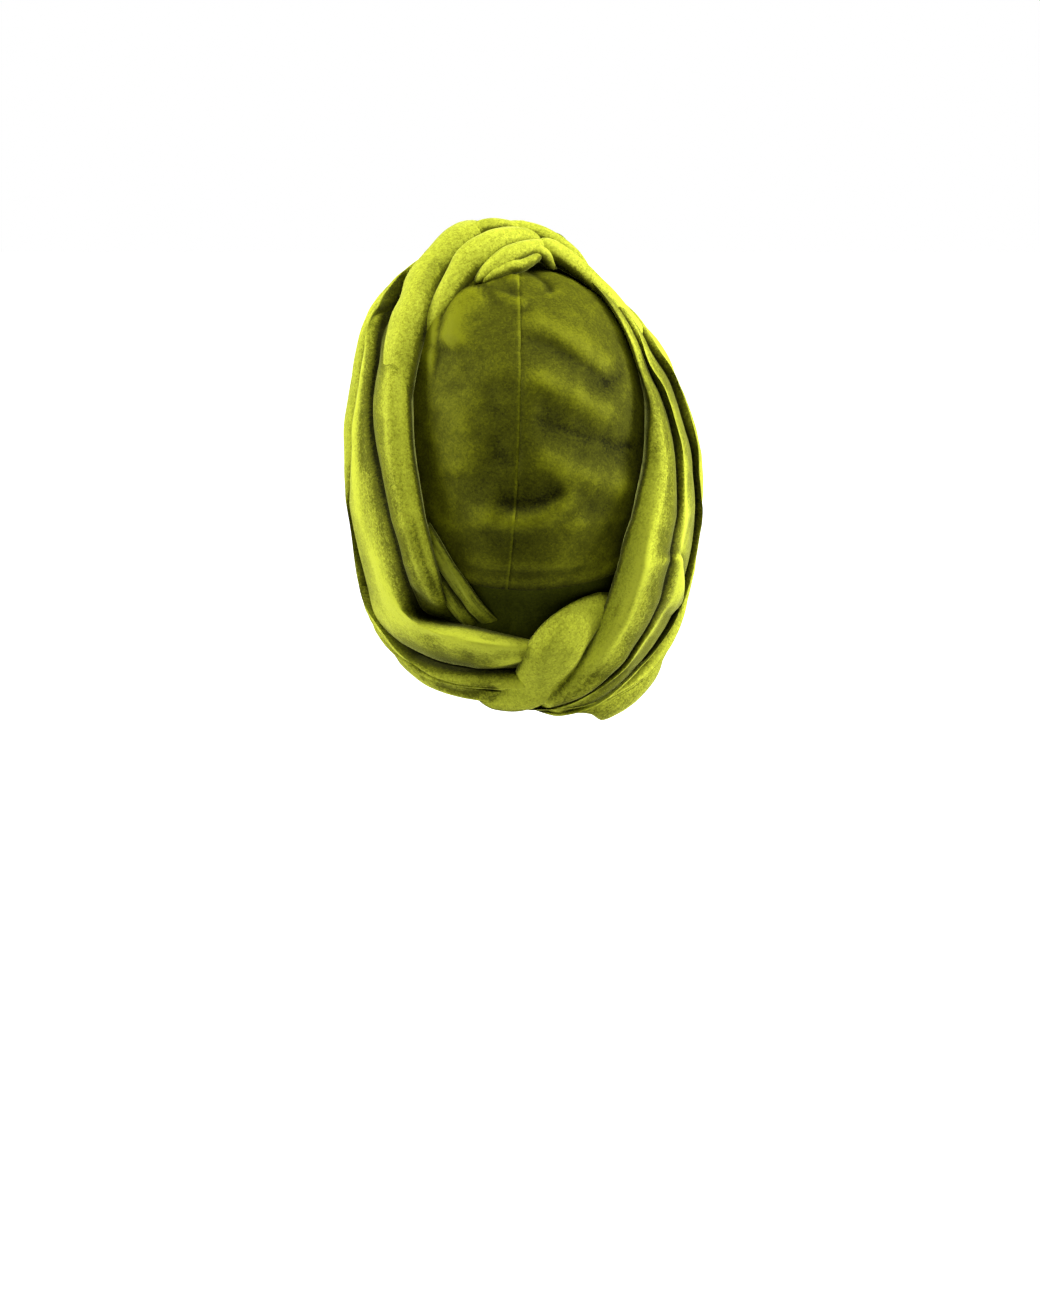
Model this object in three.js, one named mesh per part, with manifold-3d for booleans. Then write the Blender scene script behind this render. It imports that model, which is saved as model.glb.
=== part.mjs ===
// Turban headwrap in velvet: a cap in two panels with a centre-back seam, a nape band under its hem,
// two wound bundles of folds that cross over the crown and at the nape, a centre wrap over their
// meeting at the forehead, and the gathered end that is tucked in beside the cap.
// Millimetres, +Z up. The wearer faces -Y and the wearer's left is +X.
// The origin is the centre of the head at its widest level, where the headwrap grips it.

import * as THREE from 'three';
import Module from 'manifold-3d';

const wasm = await Module();
wasm.setup();

// Driving dimensions

const headHalfWidth = 84;
const headBack = 109;
const headFront = 96;
const headRise = 114;
const crownRoundness = 2.1;
const crownLean = 12;
const napeDepth = 160;
const axisTop = 0.17;

const capWall = 2;
const hemDropBack = 64;
const hemDropSide = 36;
const hemDropFront = 8;
const hemRoll = 0.6;
const creaseDepth = 5;
const seamOffset = 3;
const seamSway = 7;
const seamSink = 1.4;
const seamSpread = 5;
const seamStraight = 0.56;

const bandWall = 2;
const bandBelow = 32;
const bandTuck = 26;
const bandFrontShort = 0.6;
const bandFrontTuck = 0.5;

const foldDepth = 23;
const valleyDepth = 0.9;
const lipHeight = 0.3;
const endLip = 0.5;
const capEdge = 8;
const browEdge = 14;
const rollWidth = 30;
const rollDepth = 24;
const centreEdge = 10;
const endWall = 2.4;
const endEdge = 7;

const gap = 0.35;
const bandGap = 0.8;
const seatGap = 1.6;

// Mesh fineness

const capTurns = 44;
const capRows = 13;
const bandTurns = 36;
const rollSides = 8;
const backDenser = 0.3;
const hemRow = 0.6;
const seamCuts = 14;
const perStation = 2;

// The head form. It is the outside of the cap, and every other piece lies on it.
// Below the widest level it follows these shares: drop of napeDepth, the others of the form's sizes.

const napeForm = [
  { drop: 0, side: 1, back: 1, front: 1 },
  { drop: 0.16, side: 0.99, back: 1.01, front: 0.99 },
  { drop: 0.31, side: 0.95, back: 0.96, front: 0.98 },
  { drop: 0.44, side: 0.92, back: 0.84, front: 0.97 },
  { drop: 0.58, side: 0.87, back: 0.71, front: 0.94 },
  { drop: 0.73, side: 0.81, back: 0.59, front: 0.9 },
  { drop: 1, side: 0.77, back: 0.5, front: 0.86 },
];

const form = {
  side: headHalfWidth + capWall,
  back: headBack + capWall,
  front: headFront + capWall,
  rise: headRise + capWall,
};

function share(rows, key, at, value) {
  let next = rows.findIndex((row) => row[key] >= at);
  if (next < 0) next = rows.length - 1;
  if (next === 0) return rows[0][value];
  const low = rows[next - 1];
  const high = rows[next];
  const t = Math.min(1, (at - low[key]) / (high[key] - low[key]));
  return low[value] + (high[value] - low[value]) * t;
}

// How far a point lies out from the axis, as a share of the form grown by some distance.
function level(x, y, z, grow) {
  const up = Math.max(0, z / (form.rise + grow));
  if (up >= 1) return 2;
  const round = (1 - up ** crownRoundness) ** (1 / crownRoundness);
  const drop = Math.max(0, -z / napeDepth);
  const side = (form.side + grow) * round * share(napeForm, 'drop', drop, 'side');
  const depth = y >= 0
    ? (form.back + grow) * round * share(napeForm, 'drop', drop, 'back')
    : (form.front + grow) * round * share(napeForm, 'drop', drop, 'front');
  return Math.hypot((x - crownLean * up ** 3) / side, y / depth);
}

// The point of the grown form that lies the way a place points: from the origin above the widest
// level, and at the place's own height below it.
function onForm(aim, grow = 0) {
  if (aim.z <= 0) {
    const out = level(aim.x, aim.y, aim.z, grow);
    return new THREE.Vector3(aim.x / out, aim.y / out, aim.z);
  }
  const d = aim.clone().normalize();
  let low = 0;
  let high = 2 * (form.side + form.rise + form.back);
  for (let i = 0; i < 30; i += 1) {
    const r = (low + high) / 2;
    if (level(r * d.x, r * d.y, r * d.z, grow) < 1) low = r;
    else high = r;
  }
  return d.multiplyScalar(low);
}

// The way out from the form at a point: from the nearest point of the head's own axis.
function outward(p) {
  const axisLow = -napeDepth;
  const axisHigh = axisTop * form.rise;
  const onAxis = Math.min(Math.max(p.z, axisLow), axisHigh);
  return new THREE.Vector3(p.x, p.y, p.z - onAxis).normalize();
}

// Solids from points and faces

// The faces are turned over where they would point into the solid.
function solid(points, faces) {
  const volume = faces.reduce((sum, [a, b, c]) => sum + points[a].dot(points[b].clone().cross(points[c])), 0);
  const outFaces = volume < 0 ? faces.map(([a, b, c]) => [a, c, b]) : faces;
  const vertProperties = new Float32Array(points.flatMap((p) => [p.x, p.y, p.z]));
  const triVerts = new Uint32Array(outFaces.flat());
  return new wasm.Manifold(new wasm.Mesh({ numProp: 3, vertProperties, triVerts }));
}

// Rings of equal count, each joined to the next, closed by a fan at both ends or joined round.
function rings(list, closed) {
  const count = list[0].length;
  const points = list.flat();
  const faces = [];
  const last = closed ? list.length : list.length - 1;
  for (let i = 0; i < last; i += 1) {
    const a = i * count;
    const b = ((i + 1) % list.length) * count;
    for (let j = 0; j < count; j += 1) {
      const k = (j + 1) % count;
      faces.push([a + j, a + k, b + k], [a + j, b + k, b + j]);
    }
  }
  if (!closed) {
    for (const [ring, flip] of [[0, true], [list.length - 1, false]]) {
      const middle = new THREE.Vector3();
      for (const p of list[ring]) middle.add(p);
      points.push(middle.divideScalar(count));
      for (let j = 0; j < count; j += 1) {
        const a = ring * count + j;
        const b = ring * count + ((j + 1) % count);
        faces.push(flip ? [points.length - 1, b, a] : [points.length - 1, a, b]);
      }
    }
  }
  return solid(points, faces);
}

// The largest connected body, without crumbs or sealed pockets.
function mainBody(shape) {
  const bodies = shape.decompose();
  return bodies.reduce((best, body) => (body.volume() > best.volume() ? body : best));
}

// The cap

function hemHeight(turn) {
  const back = (1 + Math.cos(turn)) / 2;
  const front = (1 - Math.cos(turn)) / 2;
  const middle = hemDropSide - (hemDropBack + hemDropFront) / 2;
  return -(hemDropBack * back + hemDropFront * front + middle * Math.sin(turn) ** 2);
}

// Creases pressed into the back of the cap. across and up are shares of the form's side and rise,
// long and wide are too, tilt is in degrees and depth is a share of creaseDepth (minus for a ridge).
const capCreases = [
  { across: -0.02, up: -0.12, long: 0.2, wide: 0.05, tilt: 2, depth: 0.9 },
  { across: -0.05, up: -0.24, long: 0.32, wide: 0.07, tilt: -6, depth: -0.3 },
  { across: -0.34, up: 0.46, long: 0.34, wide: 0.09, tilt: 24, depth: 0.7 },
  { across: -0.4, up: 0.16, long: 0.42, wide: 0.1, tilt: 8, depth: 0.6 },
  { across: -0.26, up: 0.32, long: 0.3, wide: 0.08, tilt: 26, depth: -0.35 },
  { across: 0.24, up: 0.84, long: 0.3, wide: 0.08, tilt: -30, depth: 0.6 },
  { across: 0.5, up: 0.5, long: 0.24, wide: 0.1, tilt: 70, depth: 0.4 },
];

function creaseAt(p) {
  if (p.y <= 0) return 0;
  let depth = 0;
  for (const row of capCreases) {
    const tilt = THREE.MathUtils.degToRad(row.tilt);
    const side = p.x / form.side - row.across;
    const up = p.z / form.rise - row.up;
    const along = (side * Math.cos(tilt) - up * Math.sin(tilt)) / row.long;
    const over = (side * Math.sin(tilt) + up * Math.cos(tilt)) / row.wide;
    depth += row.depth * Math.exp(-(along ** 2) - over ** 2);
  }
  return depth * creaseDepth * Math.min(1, (3 * p.y) / form.back);
}

// The seam sways to one side toward the hem and runs straightest where the crown turns over.
function seamSide(z) {
  const turnOver = seamStraight * form.rise;
  return seamOffset + seamSway * ((z - turnOver) / (hemDropBack + turnOver)) ** 2;
}

function capSolid() {
  const outer = [];
  const inner = [];
  for (let j = 0; j < capTurns; j += 1) {
    const even = (2 * Math.PI * j) / capTurns;
    const turn = even - backDenser * Math.sin(even);
    const out = [];
    const into = [];
    for (let i = 0; i <= capRows; i += 1) {
      const hem = hemHeight(turn);
      const rim = onForm(new THREE.Vector3(Math.sin(turn) * form.side, Math.cos(turn) * form.back, hem));
      const low = Math.atan2(hem, Math.hypot(rim.x, rim.y));
      const rise = low + (Math.PI / 2 - low) * (i === 0 ? 0 : (i - hemRow) / (capRows - hemRow));
      const flat = Math.hypot(rim.x, rim.y);
      const aim = rise < 0
        ? new THREE.Vector3(rim.x, rim.y, flat * Math.tan(rise))
        : new THREE.Vector3(rim.x * Math.cos(rise), rim.y * Math.cos(rise), flat * Math.sin(rise));
      const p = onForm(aim);
      const seam = Math.exp(-(((p.x - seamSide(p.z)) / seamSpread) ** 2)) * (p.y > 0 ? seamSink : 0);
      const aboveBand = (p.z - hem - bandTuck - bandGap) / bandTuck;
      const push = -(creaseAt(p) + seam) * THREE.MathUtils.clamp(aboveBand, 0, 1) + (i === 0 ? hemRoll : 0);
      out.push(p.clone().addScaledVector(outward(p), push));
      into.push(onForm(aim, -capWall).addScaledVector(outward(p), Math.min(0, push)));
    }
    outer.push(out);
    inner.push(into);
  }
  return shell(outer, inner);
}

// A cap-shaped shell from columns of outer and inner points that end at one pole.
function shell(outer, inner) {
  const turns = outer.length;
  const rows = outer[0].length - 1;
  const points = [];
  const at = (layer, j, i) => (layer * turns + (j % turns)) * rows + i;
  for (const layer of [outer, inner]) {
    for (const column of layer) points.push(...column.slice(0, rows));
  }
  const poles = [points.length, points.length + 1];
  points.push(outer[0][rows], inner[0][rows]);
  const faces = [];
  for (let j = 0; j < turns; j += 1) {
    for (let i = 0; i < rows - 1; i += 1) {
      const [a, b, c, d] = [at(0, j, i), at(0, j + 1, i), at(0, j + 1, i + 1), at(0, j, i + 1)];
      faces.push([a, c, b], [a, d, c]);
      const [e, f, g, h] = [at(1, j, i), at(1, j + 1, i), at(1, j + 1, i + 1), at(1, j, i + 1)];
      faces.push([e, f, g], [e, g, h]);
    }
    faces.push([at(0, j, rows - 1), poles[0], at(0, j + 1, rows - 1)]);
    faces.push([at(1, j, rows - 1), at(1, j + 1, rows - 1), poles[1]]);
    faces.push([at(0, j, 0), at(0, j + 1, 0), at(1, j + 1, 0)], [at(0, j, 0), at(1, j + 1, 0), at(1, j, 0)]);
  }
  return solid(points, faces);
}

// A thin upright slab through the seam, which parts the cap into its two panels.
function seamCut() {
  const list = [];
  for (let i = 0; i <= seamCuts; i += 1) {
    const z = -napeDepth + ((napeDepth + 2 * form.rise) * i) / seamCuts;
    const x = seamSide(Math.min(z, form.rise));
    const y = 2 * form.back;
    list.push([
      new THREE.Vector3(x - gap / 2, -y, z),
      new THREE.Vector3(x + gap / 2, -y, z),
      new THREE.Vector3(x + gap / 2, y, z),
      new THREE.Vector3(x - gap / 2, y, z),
    ]);
  }
  return rings(list, false);
}

function half(shape, sign) {
  const bodies = shape.decompose().sort((a, b) => b.volume() - a.volume()).slice(0, 2);
  const middle = (body) => body.boundingBox().min[0] + body.boundingBox().max[0];
  return bodies.find((body) => Math.sign(middle(body)) === sign);
}

// The band under the hem: it starts inside the cap and stays clear of its wall.
function bandSolid() {
  const list = [];
  for (let j = 0; j < bandTurns; j += 1) {
    const turn = (2 * Math.PI * j) / bandTurns;
    const front = (1 - Math.cos(turn)) / 2;
    const hem = hemHeight(turn);
    const below = bandBelow * (1 - bandFrontShort * front);
    const levels = [hem + bandTuck * (1 - bandFrontTuck * front), hem, hem - below / 2, hem - below];
    const ring = [];
    const place = (z, grow) => {
      const aim = new THREE.Vector3(Math.sin(turn) * form.side, Math.cos(turn) * form.back, z);
      return onForm(aim, grow);
    };
    const clear = -capWall - bandGap;
    for (const z of levels) ring.push(place(z, clear));
    for (const z of [...levels].reverse()) ring.push(place(z, clear - bandWall));
    list.push(ring);
  }
  return rings(list, true);
}

// Bundles of folds. Each bundle is one closed body: a section runs over the crests and valleys of its
// folds and back along the head, and follows them from the front of the head to the nape.
// A fold is a row for each station. side, back and up point from the origin, as shares of the form's
// half width, its depth behind (before, if minus) and its rise. high is the crest's height over the
// form and dip is how far the valley after the fold goes down, both as shares of the bundle's sizes.

const columns = { side: 0, back: 1, up: 2, high: 3, dip: 4 };
const rollColumns = { side: 0, back: 1, up: 2, lift: 3, wide: 4, thick: 5 };

// A section over one fold: how far toward the next valley, and how high.
const foldOutline = [
  { toward: -0.8, high: 0.6 },
  { toward: -0.42, high: 0.92 },
  { toward: 0, high: 1 },
  { toward: 0.42, high: 0.92 },
  { toward: 0.8, high: 0.6 },
];

// The row between stations, on a smooth curve through them.
function between(rows, at) {
  const i = Math.min(rows.length - 2, Math.floor(at));
  const t = at - i;
  const pick = (k) => rows[Math.min(rows.length - 1, Math.max(0, k))];
  const [a, b, c, d] = [pick(i - 1), pick(i), pick(i + 1), pick(i + 2)];
  return b.map((value, k) => {
    const line = c[k] - a[k];
    const bend = 2 * a[k] - 5 * b[k] + 4 * c[k] - d[k];
    const turn = 3 * b[k] - a[k] - 3 * c[k] + d[k];
    return value + 0.5 * t * (line + t * (bend + t * turn));
  });
}

function seatOf(row, grow = 0) {
  const depth = row[columns.back] < 0 ? form.front : form.back;
  const aim = new THREE.Vector3(
    row[columns.side] * form.side,
    row[columns.back] * depth,
    row[columns.up] * form.rise,
  );
  return onForm(aim, grow);
}

function raised(p, height, grow = 0) {
  const seat = onForm(p, seatGap);
  return seat.addScaledVector(outward(seat), height + grow);
}

function sectionOf(folds, at, size, grow) {
  const rows = folds.map((fold) => between(fold, at));
  const seats = rows.map((row) => seatOf(row));
  const count = seats.length;
  const beyond = (a, b, far) => b.clone().addScaledVector(b.clone().sub(a).normalize(), far);
  const edgeOf = (k, edge) => edge * Math.min(1, 2 * rows[k][columns.high]) + grow;
  const rims = [beyond(seats[1], seats[0], edgeOf(0, size.edges[0]))];
  for (let k = 0; k < count - 1; k += 1) rims.push(seats[k].clone().add(seats[k + 1]).divideScalar(2));
  rims.push(beyond(seats[count - 2], seats[count - 1], edgeOf(count - 1, size.edges[1])));
  const over = [raised(rims[0], size.lip * size.depth, grow)];
  for (let k = 0; k < count; k += 1) {
    const crest = rows[k][columns.high] * size.depth;
    const dips = [k > 0 ? rows[k - 1][columns.dip] : 1, k < count - 1 ? rows[k][columns.dip] : 1];
    for (const { toward, high } of foldOutline) {
      const rim = toward < 0 ? rims[k] : rims[k + 1];
      const dip = toward < 0 ? dips[0] : dips[1];
      const p = seats[k].clone().lerp(rim, Math.abs(toward));
      over.push(raised(p, crest * (1 - (1 - high) * dip), grow));
    }
    if (k < count - 1) {
      const low = Math.min(rows[k][columns.high], rows[k + 1][columns.high]) * size.depth;
      over.push(raised(rims[k + 1], low * (1 - valleyDepth * dips[1]), grow));
    }
  }
  over.push(raised(rims[count], size.lip * size.depth, grow));
  const floor = [];
  for (let k = count; k >= 0; k -= 1) {
    if (k < count) floor.push(seats[k]);
    floor.push(rims[k]);
  }
  // A flat face between two of these points dips toward the head by this much.
  const sag = (a, b) => (b ? a.distanceToSquared(b) / (8 * form.side) : 0);
  const under = floor.map((p, k) => raised(p, Math.max(sag(p, floor[k - 1]), sag(p, floor[k + 1])), -grow));
  return [...over, ...under];
}

// A grown body is longer too, by its growth at both ends.
function lengthen(list, grow) {
  const moved = (ring, next) => ring.map((p, j) => {
    const along = p.clone().sub(next[j]).normalize();
    return p.clone().addScaledVector(along, 2 * grow);
  });
  if (grow === 0) return list;
  const last = list.length - 1;
  return [moved(list[0], list[1]), ...list.slice(1, last), moved(list[last], list[last - 1])];
}

function bundle(folds, size, grow = 0) {
  const list = [];
  const lines = Object.values(folds);
  const last = lines[0].length - 1;
  const steps = last * perStation;
  for (let i = 0; i <= steps; i += 1) list.push(sectionOf(lines, (last * i) / steps, size, grow));
  return rings(lengthen(list, grow), false);
}

// A single roll of cloth over the crown. Its rows hold side, back, up, lift, wide and thick:
// lift, from the form to the roll's middle, and thick are shares of the roll's depth, wide of its width.

function roll(rows, size, grow = 0) {
  const list = [];
  const last = rows.length - 1;
  const steps = last * perStation;
  const middles = [];
  for (let i = 0; i <= steps; i += 1) {
    const row = between(rows, (last * i) / steps);
    const seat = seatOf(row);
    middles.push({ row, p: seat.addScaledVector(outward(seat), row[rollColumns.lift] * size.depth) });
  }
  for (let i = 0; i <= steps; i += 1) {
    const { row, p } = middles[i];
    const along = middles[Math.min(steps, i + 1)].p.clone().sub(middles[Math.max(0, i - 1)].p).normalize();
    const across = new THREE.Vector3().crossVectors(along, outward(p)).normalize();
    const out = new THREE.Vector3().crossVectors(across, along);
    const halfWide = (row[rollColumns.wide] * size.width) / 2 + grow;
    const halfThick = (row[rollColumns.thick] * size.depth) / 2 + grow;
    const ring = [];
    for (let j = rollSides; j > 0; j -= 1) {
      const angle = (2 * Math.PI * j) / rollSides;
      const point = p.clone().addScaledVector(across, halfWide * Math.cos(angle));
      point.addScaledVector(out, halfThick * Math.sin(angle));
      const clear = seatGap - grow;
      ring.push(level(point.x, point.y, point.z, clear) < 1 ? onForm(point, clear) : point);
    }
    list.push(ring);
  }
  return rings(lengthen(list, grow), false);
}

// Each row of a fold: side, back, up, high, dip

const leftFolds = {
  besideCap: [
    [0.02, -0.3, 0.96, 0.3, 0.5],
    [0.3, -0.08, 0.98, 0.5, 0.5],
    [0.58, 0.14, 0.9, 0.62, 0.6],
    [0.77, 0.36, 0.72, 0.78, 0.6],
    [0.84, 0.54, 0.44, 0.88, 0.5],
    [0.84, 0.66, 0.12, 0.88, 0.5],
    [0.8, 0.72, -0.18, 0.88, 0.5],
    [0.72, 0.72, -0.42, 0.92, 0.5],
    [0.54, 0.72, -0.66, 0.95, 0.5],
    [0.22, 0.76, -0.8, 0.85, 0.6],
    [-0.15, 0.74, -0.8, 0.4, 0.5],
  ],
  outer: [
    [0, -0.72, 0.7, 0.3, 0.7],
    [0.32, -0.46, 0.88, 0.55, 0.7],
    [0.66, -0.14, 0.84, 0.72, 0.7],
    [0.9, 0.06, 0.66, 1.05, 0.8],
    [1, 0.14, 0.36, 0.98, 0.9],
    [1.03, 0.18, 0.04, 0.95, 0.9],
    [1, 0.2, -0.24, 0.95, 0.9],
    [0.93, 0.27, -0.5, 1, 0.9],
    [0.75, 0.46, -0.78, 1.02, 0.9],
    [0.42, 0.61, -0.91, 0.98, 0.8],
    [0, 0.64, -0.93, 0.4, 0.6],
  ],
  overEar: [
    [0, -0.92, 0.4, 0.3, 0.7],
    [0.34, -0.78, 0.6, 0.62, 0.7],
    [0.7, -0.48, 0.6, 0.8, 0.7],
    [0.94, -0.26, 0.38, 0.9, 0.7],
    [1.03, -0.14, 0.08, 0.92, 0.7],
    [1.03, -0.1, -0.2, 0.92, 0.7],
    [0.97, -0.02, -0.44, 0.92, 0.7],
    [0.88, 0.1, -0.68, 0.95, 0.7],
    [0.7, 0.31, -0.89, 1, 0.7],
    [0.42, 0.5, -1.02, 0.98, 0.7],
    [0.05, 0.55, -1.05, 0.5, 0.6],
  ],
  temple: [
    [0, -1, 0.14, 0.3, 0.7],
    [0.36, -0.92, 0.3, 0.66, 0.7],
    [0.72, -0.7, 0.28, 0.82, 0.7],
    [0.93, -0.48, 0.08, 0.9, 0.7],
    [1, -0.36, -0.16, 0.92, 0.7],
    [0.98, -0.28, -0.38, 0.9, 0.7],
    [0.91, -0.18, -0.6, 0.88, 0.7],
    [0.82, -0.02, -0.76, 0.85, 0.7],
    [0.67, 0.19, -0.92, 0.85, 0.7],
    [0.42, 0.41, -1.05, 0.8, 0.7],
    [0.08, 0.48, -1.09, 0.4, 0.6],
  ],
  brow: [
    [0, -1.02, -0.1, 0.3, 1],
    [0.37, -0.95, 0.02, 0.66, 1],
    [0.73, -0.76, -0.02, 0.78, 1],
    [0.9, -0.6, -0.18, 0.82, 1],
    [0.95, -0.5, -0.36, 0.8, 1],
    [0.92, -0.42, -0.54, 0.75, 1],
    [0.84, -0.32, -0.74, 0.7, 1],
    [0.76, -0.15, -0.84, 0.65, 1],
    [0.63, 0.08, -0.95, 0.6, 1],
    [0.41, 0.33, -1.08, 0.55, 1],
    [0.1, 0.42, -1.12, 0.3, 1],
  ],
};

const rightFolds = {
  besideCap: [
    [-0.18, 0.02, 1, 0.12, 0.5],
    [-0.38, 0.18, 0.95, 0.16, 0.5],
    [-0.57, 0.34, 0.82, 0.14, 0.6],
    [-0.74, 0.46, 0.6, 0.2, 0.8],
    [-0.85, 0.58, 0.34, 0.45, 0.9],
    [-0.89, 0.65, 0.04, 0.7, 0.9],
    [-0.87, 0.71, -0.22, 0.9, 0.7],
    [-0.79, 0.74, -0.44, 1.05, 0.6],
    [-0.66, 0.76, -0.64, 1.15, 0.6],
    [-0.42, 0.76, -0.85, 1.22, 0.6],
    [-0.14, 0.72, -1.01, 1.12, 0.6],
    [0.16, 0.66, -1.1, 0.5, 0.6],
  ],
  edge: [
    [-0.1, -0.16, 0.99, 0.12, 0.5],
    [-0.36, -0.02, 0.94, 0.16, 0.6],
    [-0.62, 0.14, 0.8, 0.12, 0.7],
    [-0.82, 0.3, 0.58, 0.2, 0.8],
    [-0.94, 0.42, 0.28, 0.55, 0.8],
    [-0.99, 0.45, 0, 0.8, 0.8],
    [-0.97, 0.44, -0.28, 0.95, 0.7],
    [-0.9, 0.46, -0.54, 1, 0.7],
    [-0.76, 0.54, -0.8, 1.08, 0.7],
    [-0.5, 0.6, -0.97, 1.12, 0.7],
    [-0.2, 0.6, -1.08, 1.05, 0.7],
    [0.12, 0.56, -1.14, 0.45, 0.6],
  ],
  outer: [
    [-0.02, -0.6, 0.8, 0.14, 0.6],
    [-0.37, -0.36, 0.86, 0.18, 0.7],
    [-0.68, -0.1, 0.76, 0.12, 0.7],
    [-0.9, 0.1, 0.5, 0.22, 0.7],
    [-1, 0.17, 0.2, 0.48, 0.7],
    [-1.02, 0.16, -0.08, 0.84, 0.7],
    [-0.99, 0.16, -0.34, 0.95, 0.7],
    [-0.93, 0.24, -0.62, 0.98, 0.8],
    [-0.8, 0.38, -0.88, 1, 0.8],
    [-0.54, 0.5, -1.04, 1.04, 0.8],
    [-0.24, 0.52, -1.14, 1, 0.8],
    [0.08, 0.5, -1.18, 0.4, 0.6],
  ],
  overEar: [
    [0, -0.86, 0.52, 0.18, 0.6],
    [-0.36, -0.7, 0.66, 0.3, 0.7],
    [-0.71, -0.42, 0.6, 0.2, 0.7],
    [-0.94, -0.2, 0.36, 0.28, 0.7],
    [-1.03, -0.12, 0.08, 0.58, 0.7],
    [-1.03, -0.11, -0.2, 0.86, 0.7],
    [-0.97, -0.08, -0.46, 0.92, 0.7],
    [-0.89, 0.03, -0.72, 0.92, 0.7],
    [-0.77, 0.22, -0.93, 0.9, 0.7],
    [-0.53, 0.4, -1.08, 0.92, 0.7],
    [-0.26, 0.45, -1.18, 0.85, 0.7],
    [0.05, 0.44, -1.21, 0.35, 0.6],
  ],
  temple: [
    [0, -0.97, 0.22, 0.25, 0.6],
    [-0.36, -0.88, 0.36, 0.45, 0.7],
    [-0.72, -0.66, 0.3, 0.42, 0.7],
    [-0.94, -0.46, 0.08, 0.68, 0.7],
    [-1, -0.36, -0.16, 0.82, 0.7],
    [-0.98, -0.3, -0.38, 0.9, 0.7],
    [-0.91, -0.22, -0.6, 0.9, 0.7],
    [-0.8, -0.1, -0.81, 0.85, 0.7],
    [-0.69, 0.1, -0.97, 0.75, 0.7],
    [-0.49, 0.3, -1.11, 0.7, 0.7],
    [-0.25, 0.39, -1.21, 0.6, 0.7],
    [-0.02, 0.42, -1.22, 0.25, 0.6],
  ],
  brow: [
    [0, -1.02, -0.08, 0.3, 1],
    [-0.37, -0.94, 0.03, 0.56, 1],
    [-0.73, -0.75, -0.02, 0.64, 1],
    [-0.91, -0.58, -0.18, 0.76, 1],
    [-0.95, -0.49, -0.36, 0.8, 1],
    [-0.92, -0.42, -0.55, 0.75, 1],
    [-0.84, -0.34, -0.74, 0.7, 1],
    [-0.74, -0.18, -0.9, 0.65, 1],
    [-0.62, 0.02, -1.02, 0.6, 1],
    [-0.45, 0.24, -1.14, 0.55, 1],
    [-0.28, 0.34, -1.21, 0.45, 1],
    [-0.08, 0.38, -1.23, 0.2, 1],
  ],
};

const centreFolds = {
  left: [
    [0.2, -0.02, 1.02, 0.5, 0.5],
    [0.22, -0.3, 0.97, 0.95, 0.5],
    [0.2, -0.66, 0.76, 1.15, 0.5],
    [0.18, -0.88, 0.48, 1.25, 0.5],
    [0.18, -0.97, 0.16, 1.22, 0.5],
    [0.2, -1, -0.1, 1.05, 0.5],
    [0.2, -1, -0.22, 0.5, 0.5],
  ],
  middle: [
    [0.03, 0, 1.04, 0.5, 0.5],
    [0.02, -0.3, 1, 1.05, 0.5],
    [0, -0.7, 0.76, 1.25, 0.5],
    [0, -0.92, 0.46, 1.35, 0.5],
    [0, -1, 0.14, 1.32, 0.5],
    [0, -1.02, -0.12, 1.12, 0.5],
    [0, -1, -0.24, 0.5, 0.5],
  ],
  right: [
    [-0.14, -0.02, 1.02, 0.5, 1],
    [-0.18, -0.3, 0.97, 0.9, 1],
    [-0.19, -0.66, 0.76, 1.1, 1],
    [-0.18, -0.88, 0.48, 1.22, 1],
    [-0.18, -0.97, 0.16, 1.2, 1],
    [-0.2, -1, -0.1, 1.02, 1],
    [-0.2, -1, -0.22, 0.5, 1],
  ],
};

const endFolds = {
  upper: [
    [0.68, 0.8, -0.28, 1, 0.5],
    [0.58, 0.86, -0.4, 2, 0.6],
    [0.46, 0.88, -0.54, 2.4, 0.7],
    [0.34, 0.86, -0.68, 1.8, 0.6],
    [0.22, 0.84, -0.78, 0.8, 0.5],
  ],
  lower: [
    [0.74, 0.76, -0.36, 1, 1],
    [0.66, 0.8, -0.52, 2, 1],
    [0.54, 0.82, -0.66, 2.4, 1],
    [0.4, 0.82, -0.78, 1.8, 1],
    [0.26, 0.78, -0.86, 0.8, 1],
  ],
};

// Rolls over the crown, each row: side, back, up, lift, wide, thick

const crestRolls = {
  high: [
    [0.6, 0.64, 0.66, 0.15, 0.3, 0.3],
    [0.57, 0.56, 0.8, 0.35, 0.65, 0.65],
    [0.48, 0.4, 0.94, 0.5, 0.9, 0.9],
    [0.36, 0.16, 1.02, 0.58, 1, 1],
    [0.16, -0.08, 1.04, 0.46, 0.9, 0.9],
    [-0.1, -0.26, 1, 0.2, 0.6, 0.5],
  ],
  low: [
    [0.54, 0.66, 0.72, 0.15, 0.3, 0.3],
    [0.42, 0.56, 0.86, 0.28, 0.6, 0.6],
    [0.26, 0.43, 0.97, 0.34, 0.75, 0.7],
    [0.08, 0.29, 1.02, 0.36, 0.8, 0.75],
    [-0.1, 0.12, 1.02, 0.3, 0.7, 0.6],
    [-0.26, -0.02, 0.98, 0.15, 0.4, 0.4],
  ],
};

// The roll that pinches off from the right bundle and crosses the nape, in the same columns

const napeRolls = {
  crossing: [
    [-0.74, 0.76, -0.4, 0.3, 0.3, 0.3],
    [-0.56, 0.8, -0.54, 0.62, 0.65, 0.7],
    [-0.36, 0.82, -0.7, 0.85, 0.85, 0.9],
    [-0.18, 0.78, -0.86, 0.85, 0.9, 0.9],
    [-0.02, 0.74, -1, 0.7, 0.85, 0.8],
    [0.16, 0.68, -1.1, 0.35, 0.6, 0.5],
  ],
};

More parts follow.
